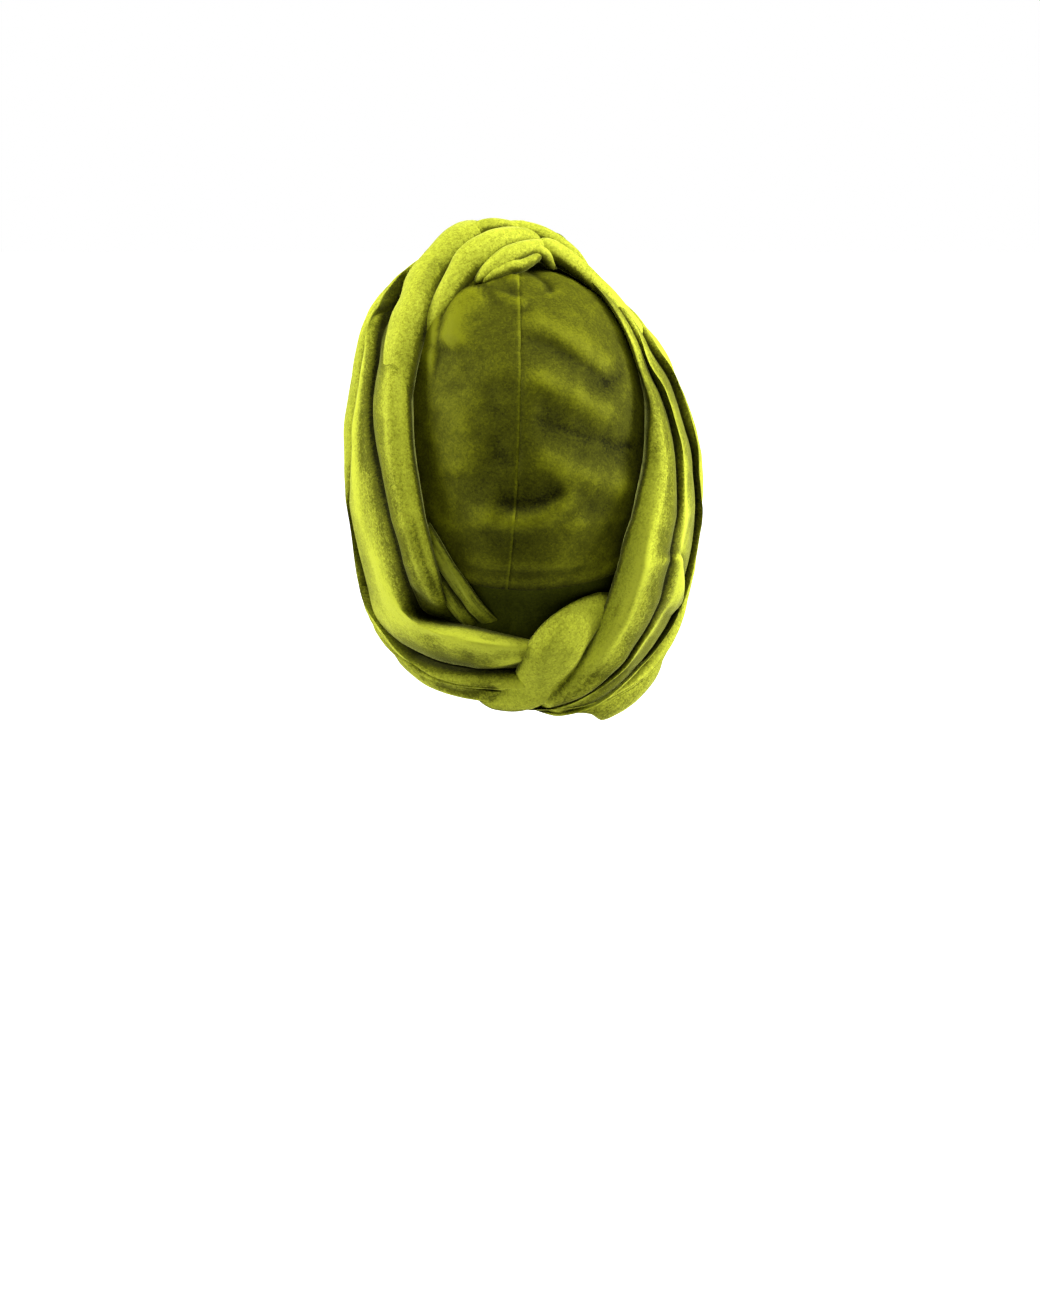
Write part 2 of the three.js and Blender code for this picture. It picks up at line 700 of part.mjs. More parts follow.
const wrapSize = { depth: foldDepth, edges: [capEdge, browEdge], lip: lipHeight };
const centreSize = { depth: foldDepth, edges: [centreEdge, centreEdge], lip: lipHeight };
const endSize = { depth: endWall, edges: [endEdge, endEdge], lip: endLip };
const rollSize = { width: rollWidth, depth: rollDepth };
const farOff = 4 * form.rise;

// A block between two levels, to say where one bundle lies over the other.
function slab(low, high) {
  return rings([low, high].map((z) => [
    new THREE.Vector3(-farOff, -farOff, z),
    new THREE.Vector3(farOff, -farOff, z),
    new THREE.Vector3(farOff, farOff, z),
    new THREE.Vector3(-farOff, farOff, z),
  ]), false);
}

// Build

const crossLevel = form.rise / 2;
const cap = capSolid().subtract(seamCut());

function wrap(folds, rolls, grow = 0) {
  const extra = Object.values(rolls).map((rows) => roll(rows, rollSize, grow));
  return wasm.Manifold.union([bundle(folds, wrapSize, grow), ...extra]);
}

const leftGrown = wrap(leftFolds, crestRolls, gap);
const rightGrown = wrap(rightFolds, napeRolls, gap);
const centreGrown = bundle(centreFolds, centreSize, gap);
const tuckedGrown = bundle(endFolds, endSize, gap);

const pieces = {
  cap_panel_left: half(cap, 1),
  cap_panel_right: half(cap, -1),
  nape_band: bandSolid(),
  wrap_left: wrap(leftFolds, crestRolls)
    .subtract(rightGrown.intersect(slab(-farOff, crossLevel)))
    .subtract(centreGrown)
    .subtract(tuckedGrown),
  wrap_right: wrap(rightFolds, napeRolls)
    .subtract(leftGrown.intersect(slab(crossLevel - gap, farOff)))
    .subtract(centreGrown)
    .subtract(tuckedGrown),
  centre_wrap: bundle(centreFolds, centreSize),
  tucked_end: bundle(endFolds, endSize),
};

const velvet = {
  cap: new THREE.MeshStandardMaterial({ color: 0x6b7012, roughness: 0.9, metalness: 0 }),
  band: new THREE.MeshStandardMaterial({ color: 0x4c500c, roughness: 0.95, metalness: 0 }),
  wrap: new THREE.MeshStandardMaterial({ color: 0x98a41c, roughness: 0.85, metalness: 0 }),
};

const finish = {
  cap_panel_left: velvet.cap,
  cap_panel_right: velvet.cap,
  nape_band: velvet.band,
  wrap_left: velvet.wrap,
  wrap_right: velvet.wrap,
  centre_wrap: velvet.wrap,
  tucked_end: velvet.wrap,
};

function meshOf(name, shape) {
  const { vertProperties, triVerts } = mainBody(shape).getMesh();
  const geometry = new THREE.BufferGeometry();
  geometry.setAttribute('position', new THREE.BufferAttribute(vertProperties, 3));
  geometry.setIndex(new THREE.BufferAttribute(triVerts, 1));
  const mesh = new THREE.Mesh(geometry, finish[name]);
  mesh.name = name;
  return mesh;
}

const turban = new THREE.Group();
for (const [name, shape] of Object.entries(pieces)) turban.add(meshOf(name, shape));

export default turban;
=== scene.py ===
# Velvet turban headwrap, worn: the cap's two panels and centre-back seam, the nape band,
# the two wound bundles of folds, the centre wrap and the gathered end.
# Lengths are millimetres in the tables and functions, and metres in the meshes.
import math

import bpy
import numpy as np
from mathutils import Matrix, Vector


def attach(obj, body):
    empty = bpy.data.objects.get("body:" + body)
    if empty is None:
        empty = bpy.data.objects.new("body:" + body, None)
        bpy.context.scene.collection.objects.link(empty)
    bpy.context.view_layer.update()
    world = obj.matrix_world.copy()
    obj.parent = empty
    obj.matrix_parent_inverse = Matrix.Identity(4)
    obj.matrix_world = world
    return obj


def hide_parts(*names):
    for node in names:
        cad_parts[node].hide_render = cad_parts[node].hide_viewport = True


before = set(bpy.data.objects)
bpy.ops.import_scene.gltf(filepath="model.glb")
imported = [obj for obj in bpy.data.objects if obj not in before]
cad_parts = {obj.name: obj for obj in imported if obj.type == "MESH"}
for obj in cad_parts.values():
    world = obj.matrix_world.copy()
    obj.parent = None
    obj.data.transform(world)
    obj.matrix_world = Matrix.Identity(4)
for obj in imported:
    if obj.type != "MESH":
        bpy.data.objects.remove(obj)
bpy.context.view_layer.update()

# The cap's outside, which everything else lies on
HALF_WIDTH = 86.0
BACK = 111.0
FRONT = 98.0
RISE = 116.0
ROUNDNESS = 2.1
CROWN_LEAN = 12.0
NAPE_DEPTH = 160.0
AXIS_TOP = 20.0
NAPE_DROP = (0, 0.16, 0.31, 0.44, 0.58, 0.73, 1)
NAPE_SIDE = (1, 0.99, 0.95, 0.92, 0.87, 0.81, 0.77)
NAPE_BACK = (1, 1.01, 0.96, 0.84, 0.71, 0.59, 0.5)
NAPE_FRONT = (1, 0.99, 0.98, 0.97, 0.94, 0.9, 0.86)
CAP_WALL = 2.0
HEM_BACK = 64.0
HEM_SIDE = 36.0
HEM_FRONT = 8.0
SEAM_OFFSET = 3.0
SEAM_SWAY = 7.0
SEAM_TURN = 0.56
SEAT = 1.2
FOLD_DEPTH = 23.0

# Guards for divisions and searches on the form
TINY = 1e-9
SMALL = 1e-6
NEARLY_ONE = 0.99999
ABOVE_CROWN = 2.0
SEARCH_REACH = 600.0
SEARCH_STEPS = 30

# The camera stands behind the wearer, a little above the head's middle.
VIEW_DISTANCE = 1300.0
VIEW_RISE = math.radians(8.0)
MIDDLE = np.array([0.0, 0.0, -10.0])
MIDDLE_ABOVE_CENTRE = 108.0
MIDDLE_ASIDE = 3.6
EYE = MIDDLE + VIEW_DISTANCE * np.array([0, math.cos(VIEW_RISE), math.sin(VIEW_RISE)])
PITCH = VIEW_RISE + math.atan(MIDDLE_ABOVE_CENTRE / VIEW_DISTANCE)
AHEAD = np.array([0, -math.cos(PITCH), -math.sin(PITCH)])
ASIDE = np.array([-1.0, 0, 0])
UPWARD = np.cross(ASIDE, AHEAD)
SIGHT_BEFORE = 180
SIGHT_BEYOND = 140
SIGHT_STEP = 1.0

# The folds, from the front over the head to the nape. A row of five is side, back and up as shares of
# the form, then high and dip. A row of four is right and up as seen from behind, then high and dip.
# high is a share of the folds' depth, and dip is how deep the valley after the fold is.

LEFT_FOLDS = {
    "beside_cap": [
        (0.02, -0.3, 0.96, 0.3, 0.5), (0.3, -0.08, 0.98, 0.5, 0.5), (0.58, 0.14, 0.9, 0.3, 0.7),
        (-69, 101, 0.35, 1), (-80.5, 68, 0.7, 1), (-84, 40, 0.92, 1), (-82.5, 12, 0.92, 1),
        (-78, -14, 0.92, 1), (-71.5, -40, 0.9, 1), (-64.5, -62, 0.82, 1), (-57, -79, 0.6, 1),
        (-45, -88, 0.25, 1), (-27, -92, 0.1, 1), (6, -99, 0.08, 1),
    ],
    "second": [
        (0, -0.5, 0.84, 0.3, 0.7), (0.31, -0.27, 0.94, 0.5, 0.7), (0.62, 0, 0.88, 0.68, 0.7),
        (-91, 94, 0.97, 0.9), (-98, 66, 1, 0.95), (-102, 38, 1, 1), (-104, 8, 1, 1),
        (-101.5, -18, 1, 1), (-95, -44, 1, 1), (-86, -68, 1, 1), (-72, -86, 1.05, 1),
        (-54, -98, 1.05, 1), (-28, -104, 1, 1), (10, -107, 0.5, 0.8),
    ],
    "outer": [
        (0, -0.72, 0.7, 0.3, 0.7), (0.32, -0.46, 0.88, 0.55, 0.7), (0.66, -0.14, 0.84, 0.72, 0.7),
        (0.9, 0, 0.66, 1, 0.8), (1, -0.06, 0.4, 0.95, 0.8), (1.02, -0.06, 0.2, 0.95, 0.8),
        (1.03, -0.04, -0.02, 0.95, 0.8), (-107, -22, 0.95, 0.8), (-104, -47, 0.95, 0.8),
        (-99, -70, 0.95, 0.8), (-89, -92, 0.95, 0.8), (-70, -114, 1, 0.8), (-44, -128, 1, 0.8),
        (10, -131, 0.6, 0.8),
    ],
    "over_ear": [
        (0, -0.92, 0.4, 0.3, 0.7), (0.34, -0.78, 0.6, 0.62, 0.7), (0.7, -0.48, 0.6, 0.8, 0.7),
        (0.94, -0.26, 0.38, 0.9, 0.7), (1.02, -0.18, 0.16, 0.92, 0.7), (1.03, -0.16, 0.02, 0.92, 0.7),
        (1.03, -0.14, -0.2, 0.92, 0.7), (0.97, -0.08, -0.44, 0.92, 0.7), (0.91, 0.02, -0.6, 0.92, 0.7),
        (0.84, 0.14, -0.74, 0.95, 0.7), (0.7, 0.31, -0.89, 0.98, 0.7), (0.54, 0.42, -0.98, 0.98, 0.7),
        (0.34, 0.5, -1.04, 0.95, 0.7), (0.05, 0.53, -1.08, 0.5, 0.6),
    ],
    "temple": [
        (0, -1, 0.14, 0.3, 0.7), (0.36, -0.92, 0.3, 0.66, 0.7), (0.72, -0.7, 0.28, 0.82, 0.7),
        (0.93, -0.48, 0.08, 0.9, 0.7), (0.98, -0.4, -0.06, 0.92, 0.7), (1, -0.36, -0.16, 0.92, 0.7),
        (0.98, -0.3, -0.34, 0.9, 0.7), (0.93, -0.22, -0.52, 0.88, 0.7), (0.88, -0.12, -0.68, 0.86, 0.7),
        (0.8, 0, -0.8, 0.85, 0.7), (0.67, 0.19, -0.92, 0.85, 0.7), (0.52, 0.33, -1.02, 0.82, 0.7),
        (0.34, 0.43, -1.08, 0.78, 0.7), (0.08, 0.48, -1.1, 0.4, 0.6),
    ],
    "brow": [
        (0, -1.02, -0.1, 0.3, 1), (0.37, -0.95, 0.02, 0.66, 1), (0.73, -0.76, -0.02, 0.78, 1),
        (0.9, -0.6, -0.18, 0.82, 1), (0.94, -0.53, -0.3, 0.8, 1), (0.94, -0.48, -0.4, 0.8, 1),
        (0.92, -0.42, -0.54, 0.75, 1), (0.86, -0.35, -0.68, 0.72, 1), (0.8, -0.24, -0.8, 0.68, 1),
        (0.73, -0.1, -0.88, 0.65, 1), (0.63, 0.08, -0.95, 0.6, 1), (0.5, 0.23, -1.04, 0.57, 1),
        (0.34, 0.36, -1.1, 0.5, 1), (0.1, 0.42, -1.13, 0.3, 1),
    ],
}

# The valleys behind the first folds, for the last stations: right, up and high.
LEFT_VALLEYS = [
    [
        (-80, 103, 0.62), (-86.5, 70, 0.62), (-89, 41, 0.6), (-87, 13, 0.62), (-82, -14, 0.7),
        (-75.5, -42, 0.74), (-69, -66, 0.7), (-62, -84, 0.45), (-47, -90, 0.18), (-29, -93, 0.08),
        (8, -101, 0.06),
    ],
    [
        (-103, -18, 0.6), (-98.5, -46, 0.55), (-93, -69, 0.5), (-82, -90, 0.4), (-64, -108, 0.35),
        (-38, -117, 0.3), (14, -118, 0.3),
    ],
]

RIGHT_FOLDS = {
    "beside_cap": [
        (-0.18, 0.02, 1, 0.12, 0.5), (-0.38, 0.18, 0.95, 0.16, 0.5), (-0.57, 0.34, 0.82, 0.14, 0.6),
        (67, 64, 0.18, 1), (75.5, 42, 0.35, 1), (80.5, 23, 0.55, 1), (83, 3, 0.78, 1),
        (80.5, -18, 0.92, 1), (75.5, -40, 1, 1), (71.5, -60, 1.08, 1), (65, -82, 1.1, 1),
        (55.5, -101, 1.12, 1), (41, -118, 1.1, 1), (24, -132, 0.95, 1), (8, -141, 0.45, 1),
    ],
    "edge": [
        (-0.1, -0.16, 0.99, 0.12, 0.5), (-0.36, -0.02, 0.94, 0.16, 0.6), (-0.62, 0.14, 0.8, 0.12, 0.7),
        (70, 70, 0.24, 1), (81, 50, 0.45, 1), (88.5, 29, 0.68, 1), (93.5, 8, 0.86, 1),
        (94.5, -14, 0.98, 1), (93.5, -36, 1, 1), (90, -58, 1, 1), (83.5, -80, 1, 1),
        (72, -100, 1.05, 1), (55, -121, 1.08, 1), (34, -137, 1, 1), (13, -145, 0.55, 1),
    ],
    "outer": [
        (-0.02, -0.6, 0.8, 0.14, 0.6), (-0.37, -0.25, 0.9, 0.18, 0.7), (-0.67, -0.02, 0.77, 0.14, 0.7),
        (76, 76, 0.32, 0.8), (88, 56, 0.5, 0.9), (96.5, 36, 0.7, 0.9), (101.5, 13, 0.9, 0.9),
        (103.5, -12, 0.98, 0.9), (103.5, -38, 0.98, 0.9), (99.5, -62, 0.98, 0.9), (91, -86, 0.98, 0.9),
        (78, -107, 1, 0.9), (59, -127, 1, 0.9), (38, -143, 1, 0.9), (16, -148.5, 0.5, 0.7),
    ],
    "over_ear": [
        (0, -0.86, 0.52, 0.18, 0.6), (-0.36, -0.6, 0.74, 0.3, 0.7), (-0.7, -0.35, 0.64, 0.2, 0.7),
        (-0.9, -0.15, 0.44, 0.28, 0.7), (-1, -0.08, 0.24, 0.5, 0.7), (-1.03, -0.06, 0.06, 0.7, 0.7),
        (-1.03, -0.06, -0.14, 0.86, 0.7), (-1, -0.05, -0.34, 0.9, 0.7), (-0.95, 0, -0.54, 0.92, 0.7),
        (-0.9, 0.08, -0.72, 0.92, 0.7), (-0.8, 0.2, -0.9, 0.9, 0.7), (-0.66, 0.32, -1.02, 0.92, 0.7),
        (-0.46, 0.42, -1.12, 0.9, 0.7), (-0.24, 0.47, -1.18, 0.85, 0.7), (0.04, 0.46, -1.21, 0.35, 0.6),
    ],
    "temple": [
        (0, -0.97, 0.22, 0.25, 0.6), (-0.36, -0.88, 0.36, 0.45, 0.7), (-0.72, -0.66, 0.3, 0.42, 0.7),
        (-0.94, -0.46, 0.08, 0.68, 0.7), (-0.99, -0.38, -0.1, 0.8, 0.7),
        (-0.99, -0.33, -0.26, 0.88, 0.7), (-0.97, -0.29, -0.42, 0.9, 0.7),
        (-0.92, -0.23, -0.58, 0.9, 0.7), (-0.86, -0.15, -0.73, 0.88, 0.7),
        (-0.78, -0.04, -0.86, 0.82, 0.7), (-0.69, 0.1, -0.97, 0.76, 0.7),
        (-0.58, 0.22, -1.06, 0.72, 0.7), (-0.43, 0.33, -1.14, 0.68, 0.7),
        (-0.25, 0.39, -1.21, 0.6, 0.7), (-0.02, 0.42, -1.22, 0.25, 0.6),
    ],
    "brow": [
        (0, -1.02, -0.08, 0.3, 1), (-0.37, -0.94, 0.03, 0.56, 1), (-0.73, -0.75, -0.02, 0.64, 1),
        (-0.91, -0.58, -0.18, 0.76, 1), (-0.94, -0.5, -0.33, 0.8, 1), (-0.93, -0.45, -0.48, 0.78, 1),
        (-0.89, -0.39, -0.62, 0.73, 1), (-0.83, -0.32, -0.76, 0.7, 1), (-0.76, -0.22, -0.87, 0.66, 1),
        (-0.69, -0.1, -0.96, 0.62, 1), (-0.61, 0.04, -1.03, 0.6, 1), (-0.51, 0.17, -1.1, 0.57, 1),
        (-0.38, 0.28, -1.17, 0.52, 1), (-0.24, 0.35, -1.22, 0.42, 1), (-0.08, 0.38, -1.23, 0.2, 1),
    ],
}

RIGHT_VALLEYS = [
    [
        (69, 66, 0.08), (78.5, 44, 0.2), (84, 25, 0.38), (87.5, 4, 0.6), (88.5, -17, 0.78),
        (86, -40, 0.88), (82, -61, 0.92), (76, -83, 0.92), (64.5, -104, 0.92), (49, -121.5, 0.88),
        (30, -136, 0.76), (10, -143.5, 0.35),
    ],
    [
        (72, 72, 0.1), (83.5, 51.5, 0.24), (91, 30, 0.44), (96.5, 9, 0.62), (98, -14, 0.68),
        (97, -37, 0.7), (93.5, -59, 0.7), (87, -82, 0.7), (75.5, -103, 0.7), (58, -124.5, 0.66),
        (36, -140.5, 0.6), (15, -147, 0.35),
    ],
]

CENTRE_FOLDS = {
    "left": [
        (0.2, -0.02, 1.02, 0.5, 0.9), (0.22, -0.3, 0.97, 0.95, 0.9), (0.2, -0.66, 0.76, 1.15, 0.9),
        (0.18, -0.88, 0.48, 1.25, 0.9), (0.18, -0.97, 0.16, 1.22, 0.9), (0.2, -1, -0.1, 1.05, 0.9),
        (0.2, -1, -0.22, 0.5, 0.9),
    ],
    "middle": [
        (0.03, 0, 1.04, 0.5, 0.9), (0.02, -0.3, 1, 1.05, 0.9), (0, -0.7, 0.76, 1.25, 0.9),
        (0, -0.92, 0.46, 1.35, 0.9), (0, -1, 0.14, 1.32, 0.9), (0, -1.02, -0.12, 1.12, 0.9),
        (0, -1, -0.24, 0.5, 0.9),
    ],
    "right": [
        (-0.14, -0.02, 1.02, 0.5, 1), (-0.18, -0.3, 0.97, 0.9, 1), (-0.19, -0.66, 0.76, 1.1, 1),
        (-0.18, -0.88, 0.48, 1.22, 1), (-0.18, -0.97, 0.16, 1.2, 1), (-0.2, -1, -0.1, 1.02, 1),
        (-0.2, -1, -0.22, 0.5, 1),
    ],
}

END_FOLDS = {
    "upper": [
        (0.68, 0.8, -0.28, 1, 0.5), (0.58, 0.86, -0.4, 2, 0.6), (0.46, 0.88, -0.54, 2.4, 0.7),
        (0.34, 0.86, -0.68, 1.8, 0.6), (0.22, 0.84, -0.78, 0.8, 0.5),
    ],
    "lower": [
        (0.74, 0.76, -0.36, 1, 1), (0.66, 0.8, -0.52, 2, 1), (0.54, 0.82, -0.66, 2.4, 1),
        (0.4, 0.82, -0.78, 1.8, 1), (0.26, 0.78, -0.86, 0.8, 1),
    ],
}


def unit(v):
    """Vectors made one long."""
    return v / np.maximum(np.linalg.norm(v, axis=-1, keepdims=True), TINY)


def smooth(x):
    """A soft step from 0 to 1."""
    x = np.clip(x, 0, 1)
    return x * x * (3 - 2 * x)


def shade(values, share, start, over):
    """A share that comes in softly past a start."""
    return share * smooth((values - start) / over)


def hump(x, high, middle, width):
    """A height at a middle that falls to nothing a few widths off."""
    return high * np.exp(-(((x - middle) / width) ** 2))


def level(p, grow=0.0):
    """How far points lie out from the head's axis, as a share of the grown form."""
    x, y, z = p[..., 0], p[..., 1], p[..., 2]
    up = np.clip(z / (RISE + grow), 0, NEARLY_ONE)
    crown = (1 - up**ROUNDNESS) ** (1 / ROUNDNESS)
    drop = np.clip(-z / NAPE_DEPTH, 0, 1)
    side = np.where(z >= 0, crown, np.interp(drop, NAPE_DROP, NAPE_SIDE))
    back = np.where(z >= 0, crown, np.interp(drop, NAPE_DROP, NAPE_BACK))
    front = np.where(z >= 0, crown, np.interp(drop, NAPE_DROP, NAPE_FRONT))
    depth = np.where(y >= 0, (BACK + grow) * back, (FRONT + grow) * front)
    out = np.hypot((x - CROWN_LEAN * up**3 * (z > 0)) / ((HALF_WIDTH + grow) * side), y / depth)
    return np.where(z >= RISE + grow, ABOVE_CROWN, out)


def on_form(aim, grow=0.0):
    """The grown form's point the way each place points, at its own height below the middle."""
    aim = np.asarray(aim, float)
    below = aim * 1.0
    below[..., :2] /= np.maximum(level(aim, grow), SMALL)[..., None]
    d = unit(aim)
    low = np.zeros(aim.shape[:-1])
    high = low + SEARCH_REACH
    for _ in range(SEARCH_STEPS):
        r = (low + high) / 2
        inside = level(r[..., None] * d, grow) < 1
        low = np.where(inside, r, low)
        high = np.where(inside, high, r)
    return np.where(aim[..., 2:] <= 0, below, low[..., None] * d)


def outward(p):
    """The way out from the head's axis."""
    axis = np.zeros_like(p)
    axis[..., 2] = np.clip(p[..., 2], -NAPE_DEPTH, AXIS_TOP)
    return unit(p - axis)


def raised(p, height):
    """Points above the form's seat by some height."""
    seat = on_form(p, SEAT)
    return seat + outward(seat) * np.asarray(height, float)[..., None]


def seen(p):
    """Millimetres to the right and up from the head's middle, as seen from behind, in its own plane."""
    d = p - EYE
    k = d @ AHEAD
    right = VIEW_DISTANCE * (d @ ASIDE) / k
    up = VIEW_DISTANCE * (d @ UPWARD) / k - MIDDLE_ABOVE_CENTRE
    return np.stack([right, up], -1)


def sight_line(right, up):
    """The way from the eye to a place drawn as seen from behind."""
    high = up + MIDDLE_ABOVE_CENTRE
    return unit(AHEAD + ASIDE * right / VIEW_DISTANCE + UPWARD * high / VIEW_DISTANCE)


def place(right, up, lift=0.0):
    """Where a sight line meets the form raised by lift."""
    ray = sight_line(right, up)
    t = np.arange(VIEW_DISTANCE - SIGHT_BEFORE, VIEW_DISTANCE + SIGHT_BEYOND, SIGHT_STEP)
    q = EYE + ray * t[:, None]
    q = q - outward(q) * lift
    out = level(q)
    nearest = np.argmax(out < 1) if (out < 1).any() else np.argmin(out)
    return EYE + ray * t[nearest]


def place_at(right, up, back):
    """Where a sight line reaches so far behind the head's middle."""
    ray = sight_line(right, up)
    return EYE + ray * (back - EYE[1]) / ray[1]


def between(rows, at):
    """Rows of a table between its stations, on a smooth curve through them."""
    rows = np.asarray(rows, float)
    at = np.asarray(at, float)
    last = len(rows) - 1
    i = np.minimum(last - 1, at.astype(int))
    t = (at - i)[:, None]
    a, b, c, d = (rows[np.clip(i + k, 0, last)] for k in (-1, 0, 1, 2))
    bend = 2 * a - 5 * b + 4 * c - d
    turn = 3 * b - a - 3 * c + d
    return b + 0.5 * t * (c - a + t * (bend + t * turn))


def places(rows):
    """Millimetres from side, back and up shares of the form."""
    depth = np.where(rows[..., 1] < 0, FRONT, BACK)
    size = [np.full_like(depth, HALF_WIDTH), depth, np.full_like(depth, RISE)]
    return rows[..., :3] * np.stack(size, -1)


# Soft noise: how fine its waves are, how many of each, and how they swirl
OCTAVES = (1.0, 1.7, 2.9)
WAVES = 3
ANY_PHASE = 6.3
SWIRL = 1.5
SWIRL_RATE = 0.6
RIPPLE_SCALE = 4


def ripple(p, size, seed):
    """Soft noise about zero, from a few waves whose directions follow from the seed."""
    draw = np.random.default_rng(seed)
    total = np.zeros(len(p))
    for octave in OCTAVES:
        for _ in range(WAVES):
            way = unit(draw.normal(size=3)) * octave * 2 * math.pi / size
            phase = draw.uniform(0, ANY_PHASE)
            swirl = SWIRL * np.sin(p @ np.roll(way, 1) * SWIRL_RATE)
            total += np.sin(p @ way + phase + swirl) / octave
    return total / RIPPLE_SCALE


# Meshes


def make(name, points, faces, marks):
    """A smooth mesh object from millimetres, with cloth marks in metres as its UV map."""
    mesh = bpy.data.meshes.new(name)
    mesh.from_pydata((np.asarray(points) / 1000).tolist(), [], [tuple(f) for f in faces])
    mesh.update()
    layer = mesh.uv_layers.new(name="cloth")
    corner = np.empty(len(mesh.loops), int)
    mesh.loops.foreach_get("vertex_index", corner)
    layer.data.foreach_set("uv", np.asarray(marks)[corner].astype(np.float32).ravel())
    obj = bpy.data.objects.new(name, mesh)
    bpy.context.collection.objects.link(obj)
    mesh.polygons.foreach_set("use_smooth", [True] * len(mesh.polygons))
    return obj


def set_painted_light(obj, shares):
    """Painted light and shade at each point, which the velvet reads as crest: lighter on crests, darker
    in valleys.
    """
    layer = obj.data.attributes.new("crest", "FLOAT", "POINT")
    layer.data.foreach_set("value", np.asarray(shares).astype(np.float32))


def lofted(grid, closed_along=False):
    """Faces of a grid of rings, closed round each ring, with its ends closed by fans."""
    count, across = grid.shape[:2]
    points = grid.reshape(-1, 3)
    ring = np.arange(count if closed_along else count - 1)[:, None]
    i = ring * across
    n = (ring + 1) % count * across
    j = np.arange(across)
    k = (j + 1) % across
    faces = np.stack([i + j, i + k, n + k, n + j], -1).reshape(-1, 4).tolist()
    if not closed_along:
        ends = np.array([grid[0].mean(0), grid[-1].mean(0)])
        points = np.vstack([points, ends])
        first, last = len(points) - 2, len(points) - 1
        base = (count - 1) * across
        faces += [(first, int(b), int(a)) for a, b in zip(j, k)]
        faces += [(last, int(base + a), int(base + b)) for a, b in zip(j, k)]
    return points, faces


def paired(grid):
    """Faces of a grid of flat rings, whose two ends are closed straight across each ring."""
    count, across = grid.shape[:2]
    i = np.arange(count - 1)[:, None] * across
    j = np.arange(across)
    k = (j + 1) % across
    faces = np.stack([i + j, i + k, i + across + k, i + across + j], -1).reshape(-1, 4).tolist()
    half = across // 2
    base = (count - 1) * across
    for a in range(half - 1):
        b = across - 1 - a
        faces.append((a, b, b - 1, a + 1))
        faces.append((base + a, base + a + 1, base + b - 1, base + b))
    return grid.reshape(-1, 3), faces


# How strokes are pressed in: samples between two places of a line, reach in widths, how squarely the
# cloth has to face the eye, and the share of a line over which its ends fade.
SAMPLES = 12
REACH = 3.5
FACING_FROM = 0.02
FACING_SPAN = 0.2
FADE = 0.22
CREASE_POWER = 1.2
EDGE_DIP = 0.35


def sculpt(points, strokes):
    """Presses folds, creases and overlapping edges, drawn as seen from behind, into points."""
    view = seen(points)
    out = outward(points)
    facing = smooth((np.einsum("ij,ij->i", out, unit(EYE - points)) - FACING_FROM) / FACING_SPAN)
    total = np.zeros(len(points))
    for kind, width, depth, line in strokes:
        samples = SAMPLES * (len(line) - 1) + 1
        path = between(line, np.linspace(0, len(line) - 1, samples))
        reach = REACH * width
        near = (view > path.min(0) - reach).all(1) & (view < path.max(0) + reach).all(1)
        near = near & (facing > 0)
        if not near.any():
            continue
        spot = view[near]
        delta = spot[:, None] - path
        best = (delta**2).sum(-1).argmin(1)
        way = unit(np.gradient(path, axis=0))[best]
        delta = delta[np.arange(len(spot)), best]
        side = way[:, 0] * delta[:, 1] - way[:, 1] * delta[:, 0]
        at_end = (best == 0) | (best == samples - 1)
        beyond = np.where(at_end, np.abs((way * delta).sum(1)), 0)
        share = best / (samples - 1)
        taper = smooth(np.minimum(share, 1 - share) / FADE) * np.exp(-((beyond / width) ** 2))
        if kind == "fold":
            shape = np.exp(-((side / width) ** 2))
        elif kind == "crease":
            shape = -np.exp(-((np.abs(side) / width) ** CREASE_POWER))
        else:
            across = np.maximum(side, 0) / width
            rounded = np.sqrt(2 * across) * np.exp(0.5 - across)
            lowered = -EDGE_DIP * np.exp(-np.abs(side) / (0.5 * width)) * smooth(0.5 - side / 2)
            shape = rounded + lowered
        total[near] += depth * shape * taper * facing[near]
    return points + out * total[:, None]


# A fold's section: the powers of its round and of its sharp form, and how its sides steepen
ROUND_POWERS = (2.4, 0.6)
SHARP_POWERS = (0.8, 1.25)
STEEPENING = 0.8
# How deep a valley is cut, and how a bundle sinks at its two ends
VALLEY_CUT = 0.95
END_LOW = 0.35
END_SPAN = 0.3


def profile(t, sharp):
    """A fold's height at a share of the way to its valley, round or with a sharp crest."""
    forms = [max(0.0, 1 - abs(t) ** power) ** rise for power, rise in (ROUND_POWERS, SHARP_POWERS)]
    return (1 - sharp) * forms[0] + sharp * forms[1]


def length_along(line):
    """How far along a line each of its points lies."""
    return np.concatenate([[0], np.cumsum(np.linalg.norm(np.diff(line, axis=0), axis=1))])


def carried(right, up, high, depth):
    """A place drawn from behind at some height, as side, back and up shares of the form under it."""
    spot = place(right, up, high * depth)
    spot = on_form(spot - outward(spot) * high * depth)
    return spot[0] / HALF_WIDTH, spot[1] / (BACK if spot[1] >= 0 else FRONT), spot[2] / RISE


def table_of(folds, valleys, depth):
    """The folds' and the valleys' rows in form shares, also of what is drawn from behind."""
    crests = np.array([
        [row if len(row) == 5 else (*carried(*row[:3], depth), *row[2:]) for row in fold]
        for fold in folds.values()
    ])
    lows = (crests[:-1] + crests[1:]) / 2
    left_over = 1 - VALLEY_CUT * np.clip(crests[:-1, :, 4], 0, 1)
    lows[..., 3] = np.minimum(crests[:-1, :, 3], crests[1:, :, 3]) * left_over
    for k, rows in enumerate(valleys):
        first = len(lows[k]) - len(rows)
        for i, row in enumerate(rows):
            lows[k, first + i, :4] = (*carried(*row, depth), row[2])
    return crests, lows


